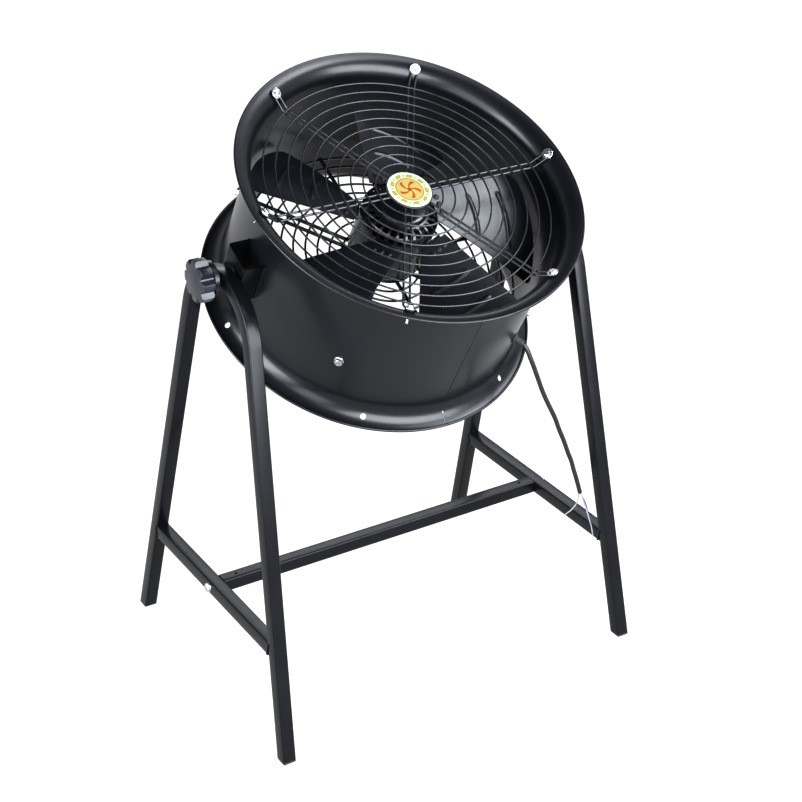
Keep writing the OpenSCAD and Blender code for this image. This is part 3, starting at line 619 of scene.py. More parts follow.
# Duct
# A strip of 2 mm steel is rolled into a ring and seam welded; both ends are spun out into wide
# flares whose edges are rolled into a bead. The rear flare is slit where the sheet's ends meet.
duct_radius = 0.2745
sheet = 0.002
wall_radius = duct_radius + sheet
flare = 0.0335
flare_wide = flare + sheet
rim_radius = wall_radius + flare
rim_bead = 0.0025
front_rim = 0.148
rear_rim = -0.158
front_curl = front_rim - flare_wide
rear_curl = rear_rim + flare_wide
hole_turn = radians(51)
guard_bolt = 0.006
rear_hole = 0.011
hole_play = 0.001
foot_bolt = 0.008
foot_bolt_s = -0.0395
cable_turn = -57
cable_s = -0.056
seam_turn = -90
seam_weld = 0.0026
slit_width = 0.0016
slit_radius = rim_radius - 0.73 * flare
slit_s = rear_rim + 0.013
curls = {1: front_curl, -1: rear_curl}
# The drum's own frame: Z along the fan's axis towards the blowing side, leant back 28 degrees
drum_lean = radians(28)
drum = Matrix.Translation(pivot) @ Matrix.Rotation(drum_lean, 4, "X")


def turn(angle):
    """A turn about the drum's axis, in degrees"""
    return Matrix.Rotation(radians(angle), 4, "Z")


def flange_hole(k, end):
    """The frame of one flange hole: Z out along the hole, from the centre of the flare's curve"""
    tip = end * hole_turn - pi / 2
    return turn(60 * k) @ at(rim_radius, 0, curls[end]) @ Matrix.Rotation(tip, 4, "Y")


def flare_line(end, radius, first, last, steps):
    """Points along one face of a flare, from one angle to another"""
    angles = [first + (last - first) * i / steps for i in range(steps + 1)]
    return [(rim_radius - radius * cos(a), curls[end] + end * radius * sin(a)) for a in angles]


def bead_line(end):
    """Points round the rolled bead, from the mouth's face over the rim to the back"""
    middle = (front_rim if end > 0 else rear_rim) - end * rim_bead
    angles = [pi / 2 - i * pi * 1.42 / 14 for i in range(15)]
    return [(rim_radius - rim_bead + rim_bead * cos(a), middle + end * rim_bead * sin(a)) for a in angles]


def block(name, size, spot):
    """A cutter or plate with square corners, its middle at a spot"""
    return place(begin(name, bpy.ops.mesh.primitive_cube_add, size=1), spot @ Matrix.Diagonal((*size, 1)))


# Powder coat on the rolled sheet: smoother and a little glossier than on the stand
duct_coat = finish(
    "black_powder_coat_sheet", ("#07080b", "#0a0b0f"), 120, (0.28, 0.36), 3, 0.03,
    IOR=1.5, Specular_IOR_Level=0.24, Coat_Weight=0.1, Coat_Roughness=0.14,
)
inside_front = flare_line(1, flare_wide, 0, radians(85.5), 16)
outside_front = flare_line(1, flare, radians(81.5), 0, 16)
inside_rear = flare_line(-1, flare_wide, radians(85.5), 0, 16)
outside_rear = flare_line(-1, flare, 0, radians(81.5), 16)
shell = turned("duct_wall", (
    inside_front + bead_line(1) + outside_front
    + outside_rear + bead_line(-1)[::-1] + inside_rear + inside_front[:1]
), 288)
cutters = [
    drill(width, 0.024, flange_hole(k, end) @ at(0, 0, 0.036))
    for k in range(6) for end, width in ((1, guard_bolt + hole_play), (-1, rear_hole))
]
for angle, spot_s, width in (
    [(45 + 90 * k, foot_bolt_s, foot_bolt + hole_play) for k in range(4)]
    + [(cable_turn, cable_s, cable_diameter + 0.004)]
):
    cutters.append(drill(width, 0.03, turn(angle) @ at(wall_radius, 0, spot_s) @ outwards))
cutters.append(block("slit", (0.05, slit_width, 0.03), turn(seam_turn) @ at(slit_radius + 0.025, 0, slit_s)))
cutters.append(drill(0.004, 0.03, turn(seam_turn) @ at(slit_radius, 0, slit_s), 24))
cut(shell, cutters, use_self=True)
# The ground-down weld along the rolled sheet, a low rounded ridge outside and inside
seams = []
for seam_radius in (wall_radius - 0.0006, duct_radius + 0.0009):
    walk("seam", [(seam_radius, 0, rear_curl), (seam_radius, 0, front_curl)])
    seams.append(place(bead("seam", seam_weld, 12), turn(seam_turn)))
shell = place(join("duct_wall", shell, *seams), drum)
dress(shell, duct_coat, 40)
belong(shell, "drum", "duct_paint", "duct_shell")


# Pivot brackets
# A 3 mm strip bent into a U is welded to each side of the duct with its back parallel to the
# frame. The clamping stud goes through the back into a nut inside.
bracket_x = 0.315
bracket_width = 0.062
bracket_length = 0.084
bracket_sheet = 0.003
half = bracket_width / 2 - bracket_sheet / 2
back = bracket_x - bracket_sheet / 2
bracket_bend = 0.0032
bracket_weld = 0.004
foot_x = 0.2742
channel = walk("channel", [(foot_x, -half, 0), (back, -half, 0), (back, half, 0), (foot_x, half, 0)])
pick(channel, "VERT", lambda point: point.co.x > back - 0.001)
bpy.ops.mesh.bevel(offset=bracket_bend, segments=6, affect="VERTICES")
bpy.ops.mesh.select_all(action="SELECT")
draw_out((0, 0, bracket_length))
bpy.ops.object.mode_set(mode="OBJECT")
close_up(channel)
modify(channel, "SOLIDIFY", thickness=bracket_sheet, offset=0)
soften(channel, 0.0005, 60)
place(channel, at(0, 0, -bracket_length / 2))
feet_welds = []
for way in (1, -1):
    walk("weld", [(0.2752, way * (bracket_width / 2 + 0.0005), z) for z in (-0.04, -0.02, 0, 0.02, 0.04)])
    feet_welds.append(bead("weld", bracket_weld, 12))
channel = join("channel", channel, *feet_welds)
for side, hand in hands.items():
    bracket = close_up(place(double(channel, side + "_channel"), drum @ hand))
    dress(bracket, powder_coat)
    belong(bracket, "drum", "black_paint", side + "_bracket")
bpy.data.objects.remove(channel)
nut_across = 0.017
nut_height = 0.008
nut_spot = at(bracket_x - bracket_sheet, 0, 0) @ Matrix.Rotation(-pi / 2, 4, "Y")
nut = hexagon("bracket_nut", nut_across, nut_height)
nuts = repeat(nut, [drum @ hand @ nut_spot for hand in hands.values()])
dress(nuts, zinc_plate, 30)
belong(nuts, "drum", "zinc", "bracket_nuts")


# Front guard
# Ten rings of 3 mm wire are spot welded on six hairpin arms of 4 mm wire. The arms dip along
# the flare, and the eye of each hairpin is bolted through the flare.
ring_wire = 0.003
arm_wire = 0.004
ring_outer = 0.256
ring_inner = 0.06025
ring_count = 10
ring_step = (ring_outer - ring_inner) / (ring_count - 1)
arm_half_gap = 0.0055
arm_inner = 0.028
arm_bend = 0.004
arm_lift = flare_wide + arm_wire / 2
eye = (rim_radius - arm_lift * cos(hole_turn), front_curl + arm_lift * sin(hole_turn))
bend_radius = ring_outer + ring_wire / 2 + arm_wire / 2
arm_s = eye[1] - (eye[0] - bend_radius) / tan(hole_turn)
ring_s = arm_s + arm_wire / 2 + ring_wire / 2
# Black dip coating on bright wire: thin, glossy, a little thicker in the weld's corners
wire_coat = finish(
    "gloss_black_dip_coat", ("#121317", "#1b1c20"), 20, (0.2, 0.3), 2, 0.04,
    IOR=1.5, Specular_IOR_Level=0.3, Coat_Weight=0.2, Coat_Roughness=0.08,
)


def wire_rings(name, wire, radii, facets, spot_s):
    """Rings of wire inside each other, in one plane across the drum's axis"""
    rings = [
        place(begin(
            "ring", bpy.ops.mesh.primitive_torus_add, major_radius=radius, minor_radius=wire / 2,
            major_segments=facets - 8 * i, minor_segments=10, location=(0, 0, spot_s),
        ))
        for i, radius in enumerate(radii)
    ]
    return place(join(name, *rings), drum)


def weld_dots(width, height, spots):
    """Flattened spots of weld where wires cross"""
    dot = begin("dot", bpy.ops.mesh.primitive_uv_sphere_add, segments=10, ring_count=6, radius=1)
    place(dot, Matrix.Diagonal((width / 2, width / 2, height / 2, 1)))
    return repeat(dot, [at(*spot) for spot in spots])


ring_radii = [ring_outer - i * ring_step for i in range(ring_count)]
guard_rings = wire_rings("guard_rings", ring_wire, ring_radii, 160, ring_s)
dress(guard_rings, wire_coat, 60)
belong(guard_rings, "drum", "guard_paint", "front_guard_rings")

slope = Vector((sin(hole_turn), 0, cos(hole_turn)))
eye_spot = Vector((eye[0], 0, eye[1]))
eye_turn = [-pi / 2, *[radians(a) for a in range(-75, 76, 15)], pi / 2]
hairpin = (
    [(arm_inner, -arm_half_gap, arm_s), (bend_radius, -arm_half_gap, arm_s)]
    + [tuple(eye_spot + arm_half_gap * (slope * cos(a) + Vector((0, sin(a), 0)))) for a in eye_turn]
    + [(bend_radius, arm_half_gap, arm_s), (arm_inner, arm_half_gap, arm_s)]
)
arm = walk("guard_arms", hairpin)
pick(arm, "VERT", lambda point: abs(point.co.x - bend_radius) < 0.0001)
bpy.ops.mesh.bevel(offset=arm_bend, segments=5, affect="VERTICES")
arm = bead("guard_arms", arm_wire, 12)
dots = weld_dots(0.0042, 0.0028, [
    (sqrt(radius ** 2 - arm_half_gap ** 2), way * arm_half_gap, ring_s - ring_wire / 2)
    for radius in ring_radii for way in (1, -1)
])
guard_arms = repeat(join("guard_arms", arm, dots), [drum @ turn(60 * k) for k in range(6)])
dress(guard_arms, wire_coat, 60)
belong(guard_arms, "drum", "guard_paint", "front_guard_arms")

guard_washer = 0.02
guard_nut = 0.005
guard_pitch = 0.001
guard_across = 1.667 * guard_bolt
under_washer = flare_wide + arm_wire
bolt_top = under_washer + bar_washer_thick
bolt_low = bolt_top - (flare_wide - flare + arm_wire + bar_washer_thick + guard_nut + 0.014)
nut_top = sqrt(flare ** 2 - guard_across ** 2 / 3) - seat
guard_bolts = join(
    "guard_bolts",
    place(hexagon("head", guard_across, 0.7 * guard_bolt), at(0, 0, bolt_top)),
    thread("thread", guard_bolt, bolt_low, bolt_top, guard_pitch),
)
guard_washers = place(
    washer("guard_washers", guard_bolt / 2, guard_washer / 2, bar_washer_thick),
    at(0, 0, under_washer),
)
upside_down = Matrix.Rotation(pi, 4, "X")
guard_nuts = place(hexagon("guard_nuts", guard_across, guard_nut), at(0, 0, nut_top) @ upside_down)
for fixing, angle in ((guard_bolts, 25), (guard_washers, 35), (guard_nuts, 30)):
    fixings = repeat(fixing, [drum @ flange_hole(k, 1) for k in range(6)])
    dress(fixings, zinc_plate, angle)
    belong(fixings, "drum", "zinc", "front_" + fixings.name)


# Badge
# A black plate on the middle of the guard carries a round printed label under a domed clear
# film: a pale border, a yellow-green band of ticks and a plain pinwheel on a yellow field.
badge_radius = 0.04
badge_thick = 0.0015
backing_radius = 0.042
plate_s = arm_s + arm_wire / 2
plate = turned("badge_backing", [
    (0, 0), (backing_radius - 0.0005, 0), (backing_radius, 0.0004), (backing_radius, 0.0009),
    (backing_radius - 0.0006, badge_thick), (0, badge_thick),
], 96, plate_s)
place(plate, drum)
dress(plate, moulded_plastic)
belong(plate, "drum", "black_plastic", "badge_plate")
label = turned("badge_label", [
    (0, 0), (badge_radius - 0.0004, 0), (badge_radius, 0.0004), (badge_radius - 0.0002, 0.0009),
    (badge_radius - 0.0012, 0.0012), (badge_radius - 0.004, 0.0014), (0, 0.0015),
], 96, plate_s + badge_thick)
# Printed polyester under clear resin: flat inks with a glossy, slightly soft surface
printed_label = finish(
    "printed_label", ("#aaa99d", "#b0afa4"), 20, (0.16, 0.22), 3, 0.02,
    IOR=1.5, Specular_IOR_Level=0.3, Coat_Weight=0.6, Coat_Roughness=0.05,
)


def drum_axes(material):
    """The place of each point in the drum's own frame, Z along the fan's axis"""
    return add(material, "ShaderNodeMapping", {
        "Vector": add(material, "ShaderNodeTexCoord").outputs["Object"],
        "Location": pivot, "Rotation": (drum_lean, 0, 0),
    }, vector_type="TEXTURE").outputs["Vector"]


axes = add(printed_label, "ShaderNodeSeparateXYZ", {"Vector": drum_axes(printed_label)})
flat_spot = add(printed_label, "ShaderNodeCombineXYZ", {"X": axes.outputs["X"], "Y": axes.outputs["Y"]})
distance = add(printed_label, "ShaderNodeVectorMath", {0: flat_spot.outputs["Vector"]}, operation="LENGTH")
way_round = add(printed_label, "ShaderNodeMath", {0: axes.outputs["Y"], 1: axes.outputs["X"]},
                operation="ARCTAN2")
# From the middle outwards, as shares of the label's radius
reach = add(printed_label, "ShaderNodeMath", {0: distance.outputs["Value"], 1: 1 / badge_radius},
            operation="MULTIPLY")
bands = add(printed_label, "ShaderNodeValToRGB", {"Fac": reach.outputs["Value"]})
bands.color_ramp.interpolation = "CONSTANT"
inks = [(0, "#7a6f44"), (0.6, "#6f2b16"), (0.63, "#7f806a"), (0.9, "#96968c"), (0.985, "#1b1b1c")]
set_stops(bands, [(share, linear(ink)) for share, ink in inks])


def band_mask(value, low, high):
    """One where the value lies between low and high, and nothing elsewhere"""
    above = add(printed_label, "ShaderNodeMath", {0: value, 1: low}, operation="GREATER_THAN")
    below = add(printed_label, "ShaderNodeMath", {0: value, 1: high}, operation="LESS_THAN")
    both = add(printed_label, "ShaderNodeMath", {0: above.outputs[0], 1: below.outputs[0]},
               operation="MULTIPLY")
    return both.outputs[0]


def wave_of(count, twist):
    """The sine of so many turns round the label, swept back by twist towards the rim"""
    swept = add(printed_label, "ShaderNodeMath", {0: reach.outputs[0], 1: twist, 2: way_round.outputs[0]},
                operation="MULTIPLY_ADD")
    turns = add(printed_label, "ShaderNodeMath", {0: swept.outputs[0], 1: float(count)}, operation="MULTIPLY")
    return add(printed_label, "ShaderNodeMath", {0: turns.outputs[0]}, operation="SINE").outputs[0]


def inked(under, ink, *masks):
    """An ink printed over a colour where all the masks meet"""
    share = masks[0]
    for mask in masks[1:]:
        share = add(printed_label, "ShaderNodeMath", {0: share, 1: mask}, operation="MULTIPLY").outputs[0]
    mixed = {"Fac": share, "Color1": under, "Color2": linear(ink)}
    return add(printed_label, "ShaderNodeMixRGB", mixed).outputs[0]


# The pinwheel's sails, their darker middles and the hub, and then the band's ticks and their cores
print_colour = bands.outputs["Color"]
for ink, low, high, least, count, twist in (
    ("#7b5b20", 0.1, 0.5, 0.3, 5, 1.6), ("#672f12", 0.1, 0.5, 0.8, 5, 1.6), ("#672f12", -1, 0.1, 0, 0, 0),
    ("#666d34", 0.7, 0.86, 0.2, 9, 0.6), ("#484f24", 0.74, 0.82, 0.85, 27, 0),
):
    masks = [band_mask(reach.outputs[0], low, high)]
    if count:
        masks.append(band_mask(wave_of(count, twist), least, 2))
    print_colour = inked(print_colour, ink, *masks)
label_shader = printed_label.node_tree.nodes["Principled BSDF"]
printed_label.node_tree.links.new(print_colour, label_shader.inputs["Base Color"])
place(label, drum)
dress(label, printed_label)
belong(label, "drum", "badge_face", "badge")


# Motor guard
# The rear of the duct is closed by nine rings of 4 mm rod on four single spokes and four pairs
# of 7 mm rods, which carry the motor. Each pair is welded to a flat foot bolted to the duct.
mring_wire = 0.004
mrod = 0.007
mring_s = -0.061
mring_outer = duct_radius - 0.0255
motor_plate_radius = 0.062
mring_count = 9
mring_step = (mring_outer - motor_plate_radius - 0.011) / (mring_count - 1)
mrod_s = mring_s + mring_wire / 2 + mrod / 2
mplate_s = mrod_s + mrod / 2
mplate_thick = 0.003
foot_width = 0.034
foot_sheet = 0.003
foot_corner = 0.006
foot_face = sqrt(duct_radius ** 2 - foot_width ** 2 / 4)
foot_inside = foot_face - foot_sheet
foot_low = mring_s - 0.002
foot_high = foot_bolt_s + 0.013
pair_gap = 0.00875
spoke_inner = 0.052
rod_inner = 0.03
mring_radii = [mring_outer - i * mring_step for i in range(mring_count)]
rod_dot, rod_dot_high = 0.0064, 0.0036
quarters = [drum @ turn(90 * k) for k in range(4)]
between = [drum @ turn(45 + 90 * k) for k in range(4)]
rear_rings = wire_rings("rear_rings", mring_wire, mring_radii, 144, mring_s)
dress(rear_rings, wire_coat, 60)
belong(rear_rings, "drum", "guard_paint", "motor_guard_rings")


def straight_rod(name, start, end):
    """A straight rod of 7 mm wire between two points, its cut ends slightly rounded"""
    walk(name, [start, end])
    return soften(bead(name, mrod, 16), 0.0008, 60)


spoke = straight_rod("rear_spokes", (spoke_inner, 0, mrod_s), (mring_outer, 0, mrod_s))
dots = weld_dots(rod_dot, rod_dot_high, [(radius, 0, mring_s + mring_wire / 2) for radius in mring_radii])
spokes = repeat(join("rear_spokes", spoke, dots), quarters)
dress(spokes, wire_coat, 50)
belong(spokes, "drum", "guard_paint", "motor_guard_spokes")
pair = [
    straight_rod("rod", (rod_inner, way * pair_gap, mrod_s), (foot_inside, way * pair_gap, mrod_s))
    for way in (1, -1)
]
pair.append(weld_dots(rod_dot, rod_dot_high, [
    (sqrt(radius ** 2 - pair_gap ** 2), way * pair_gap, mring_s + mring_wire / 2)
    for radius in mring_radii for way in (1, -1)
]))
pairs = repeat(join("rear_rod_pairs", *pair), between)
dress(pairs, wire_coat, 50)
belong(pairs, "drum", "guard_paint", "motor_guard_arms")

foot = block("rod_feet", (foot_sheet, foot_width, foot_high - foot_low),
             at(foot_face - foot_sheet / 2, 0, (foot_low + foot_high) / 2))


def top_corner(edge):
    """Whether an edge of the foot runs through the sheet at one of its two top corners"""
    start, end = [point.co for point in edge.verts]
    return abs(start.x - end.x) > 0.001 and min(start.z, end.z) > foot_bolt_s


bpy.ops.object.mode_set(mode="EDIT")
pick(foot, "EDGE", top_corner)
bpy.ops.mesh.bevel(offset=foot_corner, segments=6)
bpy.ops.object.mode_set(mode="OBJECT")
soften(foot, 0.0004, 50)
foot_beads = []
for way in (1, -1):
    torus = begin("weld", bpy.ops.mesh.primitive_torus_add, major_radius=mrod / 2 + 0.0003,
                  minor_radius=0.0012, major_segments=24, minor_segments=8)
    foot_beads.append(place(torus, at(foot_inside, way * pair_gap, mrod_s) @ outwards))
rod_feet = repeat(join("rod_feet", foot, *foot_beads), between)
dress(rod_feet, wire_coat, 40)
belong(rod_feet, "drum", "guard_paint", "motor_guard_feet")

foot_across = 0.013
foot_head = 0.0053
foot_nut = 0.0065
foot_washer = 0.017
foot_pitch = 0.00125
bolt_inner = foot_inside - foot_nut - 0.003
foot_bolts = join(
    "foot_fixings",
    place(hexagon("head", foot_across, foot_head), at(0, 0, wall_radius + bar_washer_thick)),
    place(washer("ring", foot_bolt / 2, foot_washer / 2, bar_washer_thick), at(0, 0, wall_radius)),
    thread("thread", foot_bolt, bolt_inner, wall_radius, foot_pitch),
)
foot_nuts = place(hexagon("foot_nuts", foot_across, foot_nut), at(0, 0, foot_inside) @ upside_down)
for fixing, angle, node in ((foot_bolts, 28, "foot_bolts"), (foot_nuts, 30, "foot_bolt_nuts")):
    fixings = repeat(fixing, [spot @ at(0, 0, foot_bolt_s) @ outwards for spot in between])
    dress(fixings, zinc_plate, angle)
    belong(fixings, "drum", "zinc", node)


# Motor plate and stator
# A round plate welded on the rods takes the motor's cast flange with four screws. The flange's
# tube holds two ball bearings; round it stand the laminated core and its copper windings.
plate_bore = 0.015
plate_edge = 0.0006
motor_plate = turned("motor_mounting_plate", [
    (plate_bore, 0), (motor_plate_radius - plate_edge, 0), (motor_plate_radius, plate_edge),
    (motor_plate_radius, mplate_thick - plate_edge), (motor_plate_radius - plate_edge, mplate_thick),
    (plate_bore, mplate_thick), (plate_bore, 0),
], 96, mplate_s)
place(motor_plate, drum)
dress(motor_plate, powder_coat)
belong(motor_plate, "drum", "guard_paint", "motor_plate")
# Die-cast aluminium, left as cast: grey with a fine sandy skin
cast_aluminium = finish(
    "die_cast_aluminium", ("#85878a", "#9c9ea1"), 16, (0.45, 0.6), 1.4, 0.12, Metallic=1.0
)
# Stacked electrical steel: dark grey sheets, seen as fine lines across the fan's axis
laminations = finish("stacked_laminations", ("#4a4b4f", "#5d5e63"), 14, (0.4, 0.55), 1.2, 0.05, Metallic=1.0)
# Sheets of 0.5 mm, drawn 1.5 mm thick so that they show
stack = add(laminations, "ShaderNodeTexWave", {
    "Vector": drum_axes(laminations), "Scale": 1000 / 1.5 / tau, "Distortion": 0.0,
}, bands_direction="Z")
stack_bump = add(laminations, "ShaderNodeBump", {
    "Height": stack.outputs["Fac"], "Distance": 0.0003, "Strength": 0.8,
})
stack_shader = laminations.node_tree.nodes["Principled BSDF"]
laminations.node_tree.links.new(stack_bump.outputs["Normal"], stack_shader.inputs["Normal"])
# Varnished winding wire, its orange-brown copper painted nearly black as painted shade inside the motor;
# turns drawn 1.6 mm thick so that they show
shade_darkened_copper = finish(
    "copper_painted_dark_as_shade", ("#140b08", "#20130c"), 5, (0.25, 0.4), 1.6, 0.5,
    Metallic=0.6, Coat_Weight=0.6, Coat_Roughness=0.15,
)
# The windings take the copper painted dark, standing in for the shade inside the motor
for node, material in (
    ("motor_flange", cast_aluminium), ("motor_screws", zinc_plate), ("motor_rear_cap", cast_aluminium),
    ("stator_core", laminations), ("rotor_ring", laminations), ("stator_windings", shade_darkened_copper),
    ("rear_bearing", turned_steel), ("front_bearing", turned_steel), ("shaft", turned_steel),
):
    coat(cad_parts[node], material)


# Motor lead and cable sleeve
# The motor's own lead lies between a pair of rods and goes to a rubber sleeve in the duct's
# wall, where it leaves as the mains cable. The sleeve is ribbed and tapered so that it bends.
lead_at = radians(-45)
lead_diameter = 0.007
lead_route = [
    (59.3, 0, -44.6), (66, 0, -45), (76, 0, -47.6), (88, 0, -52.4), (102, 0, -55), (125, 0, -55.5),
    (150, 0, -55.5), (172, 0, -55), (190, 1, -52.6), (206, 5, -48.6), (223, 13, -46.5), (236, 26, -48),
    (243, 38, -50.5), (250, 48, -53.5), (257.5, 54, -55.5), (264.2, 56.16, -56),
]
along = Vector((cos(lead_at), sin(lead_at), 0))
beside = Vector((sin(lead_at), -cos(lead_at), 0))
lead_line = [drum @ ((u * along + v * beside + Vector((0, 0, s))) / 1000) * 1000 for u, v, s in lead_route]
lead = laid_line("motor_supply_lead", lead_line, lead_diameter, pvc_sheath)
take(lead)
bpy.ops.object.convert(target="MESH")
lead = bpy.context.object
belong(lead, "drum", "cable_sheath", "motor_lead")
sleeve_length = 0.02
# How far the sleeve stands out from the cable, and the height over the duct's wall
sleeve_outline = [
    (0, -0.006), (0.0036, -0.006), (0.004, -0.0055), (0.004, -0.0033), (0.0036, -0.003), (0.0018, -0.003),
    (0.0018, 0.0003), (0.0046, 0.0003), (0.005, 0.0008), (0.005, 0.0028), (0.0045, 0.0033),
]
for rib in range(5):
    low = 0.0042 + rib * 0.0031
    wide = 0.0032 - 0.0025 * (low - 0.0003) / sleeve_length
    narrow = wide - 0.0009
    sleeve_outline += [(narrow, low), (narrow, low + 0.0011), (wide, low + 0.0015), (wide, low + 0.0027)]
sleeve_outline += [(0.0009, 0.0203), (0.00005, 0.0203), (0, -0.006)]
sleeve = turned("cable_grommet", [(cable_diameter / 2 + out, height) for out, height in sleeve_outline], 48)
place(sleeve, drum @ turn(cable_turn) @ at(wall_radius, 0, cable_s) @ outwards)
# Moulded rubber: matte, nearly black, with a dusty bloom
moulded_rubber = finish("moulded_rubber", ("#17171a", "#26262a"), 10, (0.6, 0.78), 0.9, 0.08, IOR=1.52)
dress(sleeve, moulded_rubber, 40)
belong(sleeve, "drum", "black_rubber", "cable_sleeve")


# Motor case
# The motor's outer case turns with the blades. It is a black painted casting with a low round
# nose, arched vents round its shoulder and a row of narrow openings in the skirt below them.
case_radius = 0.0685
case_wall = 0.004
case_front = 0.076
case_depth = 0.11
case_inner = case_radius - case_wall
vent_count = 26
vent_width = 0.0104
vent_inner = 0.0545
window_width = 0.0092
window_radius = 0.068
window_drop = 0.0185
shoulder_drop = 0.009
case = turned("motor_case", [
    (case_inner, -case_depth), (case_radius - 0.0006, -case_depth), (case_radius, 0.0006 - case_depth),
    (case_radius, -0.0265), (case_radius - 0.0005, -0.0265), (case_radius - 0.0005, -0.0255),
    (case_radius, -0.0255), (case_radius, -shoulder_drop - 0.0015), (case_radius - 0.0008, -shoulder_drop),
    (case_radius - 0.004, -0.0045), (0.0595, -0.0014), (0.054, -0.0002), (0.0455, 0), (0.044, 0.0008),
    (0.0425, 0.004), (0.041, 0.0064), (0.0385, 0.0076), (0.036, 0.008), (0.0225, 0.008),
    (0.0218, 0.0072), (0.0205, 0.0072), (0.0198, 0.008), (0, 0.008), (0, -case_wall),
    (0.054, -case_wall), (case_inner - 0.003, -shoulder_drop), (case_inner, -shoulder_drop - 0.003),
    (case_inner, -case_depth),
], 208, case_front)
vents = []
for k in range(vent_count):
    spot = turn((k + 0.5) * 360 / vent_count)
    # An arched opening in the shoulder, and a narrower square one below it in the skirt
    vents += [
        drill(vent_width, 0.03, spot @ at(vent_inner, 0, case_front), 24),
        block("vent", (0.0112, vent_width, 0.03), spot @ at(vent_inner + 0.0056, 0, case_front)),
        block("window", (0.012, window_width, 0.0115),
              spot @ at(window_radius, 0, case_front - window_drop)),
    ]
cut(case, vents, use_self=True)
place(case, drum)
# Paint over a casting: satin black, glossier on the turned nose
case_paint = finish(
    "black_paint_on_casting", ("#0b0c0f", "#111216"), 24, (0.2, 0.3), 1.8, 0.07,
    IOR=1.5, Specular_IOR_Level=0.4, Coat_Weight=0.1, Coat_Roughness=0.12,
)
dress(case, case_paint, 32)
belong(case, "impeller", "guard_paint", "rotor_case")


# Blades
# Five blades are pressed from 2 mm steel sheet, curved across their width, with two stiffening
# ribs and rounded tip corners. Each is riveted with three rivets to a bracket on the case.
tip_radius = duct_radius - 0.008
root_x = case_radius + 0.007
blade_sheet = 0.002
front_y, front_s = 0.04, 0.058
rear_y, rear_s = -0.155, -0.02
tip_round = 0.024
rear_tip_round = 0.008
curve_radius = 0.52
chord = Vector((front_y - rear_y, front_s - rear_s))
drop = sqrt(curve_radius ** 2 - chord.length ** 2 / 4)
curve_y = (front_y + rear_y) / 2 + drop * chord.y / chord.length
curve_s = (front_s + rear_s) / 2 - drop * chord.x / chord.length
rear_root = Vector((root_x + 0.008, -0.026))
rear_tip = Vector((sqrt(tip_radius ** 2 - rear_y ** 2), rear_y))
rib_height = 0.0018
rib_half_width = 0.0055
blade_grid = 0.0019


def curved_panel(name, low_x, high_x, low_y, high_y, depth, spacing):
    """A grid on the blades' curve, so deep under their front face, X along the curve's axis"""
    radius = curve_radius - depth
    first, last = [asin((y - curve_y) / curve_radius) for y in (high_y, low_y)]
    edge_y, edge_s = curve_y + radius * sin(first), curve_s + radius * cos(first)
    panel = walk(name, [(low_x, edge_y, edge_s), (high_x, edge_y, edge_s)])
    bpy.ops.mesh.select_all(action="SELECT")
    bpy.ops.mesh.subdivide(number_cuts=int((high_x - low_x) / spacing))
    bpy.ops.mesh.select_all(action="SELECT")
    bpy.ops.mesh.spin(steps=int((high_y - low_y) / spacing), angle=last - first,
                      center=(0, curve_y, curve_s), axis=(1, 0, 0))
    bpy.ops.object.mode_set(mode="OBJECT")
    return close_up(panel)


def thicken(panel, thickness):
    """Gives a curved panel its thickness, all of it under its front face"""
    upwards = sum(face.normal.z for face in panel.data.polygons) > 0
    modify(panel, "SOLIDIFY", thickness=thickness, offset=-1 if upwards else 1)


def arc(centre, radius, first, last, steps):
    """Points of an arc in the flat, from one angle to another"""
    angles = [first + (last - first) * i / steps for i in range(steps + 1)]
    return [(centre[0] + radius * cos(a), centre[1] + radius * sin(a), 0) for a in angles]


front_round = Vector((sqrt((tip_radius - tip_round) ** 2 - (front_y - tip_round) ** 2), front_y - tip_round))
rear_way = (rear_tip - rear_root).normalized()
rear_in = Vector((-rear_way.y, rear_way.x))
inset = rear_in.dot(rear_root) + rear_tip_round
rear_round = rear_in * inset + rear_way * sqrt((tip_radius - rear_tip_round) ** 2 - inset ** 2)
front_angle = atan2(front_round.y, front_round.x)
rear_angle = atan2(rear_round.y, rear_round.x)
outline = (
    [(root_x, front_y, 0)]
    + arc(front_round, tip_round, pi / 2, front_angle, 12)
    + arc((0, 0), tip_radius, front_angle, rear_angle, 40)[1:]
    + arc(rear_round, rear_tip_round, rear_angle, atan2(-rear_in.y, -rear_in.x), 14)[1:]
    + [(rear_root.x, rear_root.y, 0), (root_x, -0.018, 0)]
)
blade = curved_panel("blade", root_x - 0.004, tip_radius + 0.004, rear_y - 0.008, front_y + 0.008,
                     0, blade_grid)
# The press raises each rib towards the front, rounded across and run out at both ends
for rib_radius, rib_first, rib_last in ((0.155, radians(4), radians(-20)), (0.215, radians(1), radians(-24))):
    for point in blade.data.vertices:
        off = abs(hypot(point.co.x, point.co.y) - rib_radius) / rib_half_width
        angle_here = atan2(point.co.y, point.co.x)
        beyond = max(0, angle_here - rib_first, rib_last - angle_here) * rib_radius / (1.5 * rib_half_width)
        if off < 1 and beyond < 1:
            point.co.z += rib_height * 0.25 * (1 + cos(pi * off)) * (1 + cos(pi * beyond))
open_up(blade)
bpy.ops.mesh.normals_make_consistent(inside=False)
bpy.ops.object.mode_set(mode="OBJECT")
thicken(blade, blade_sheet)
die = walk("die", outline)
bpy.ops.mesh.select_all(action="SELECT")
bpy.ops.mesh.edge_face_add()
draw_out((0, 0, 0.2))
bpy.ops.object.mode_set(mode="OBJECT")
close_up(place(die, at(0, 0, -0.08)))
modify(blade, "BOOLEAN", operation="INTERSECT", object=die)
bpy.data.objects.remove(die)
close_up(blade)
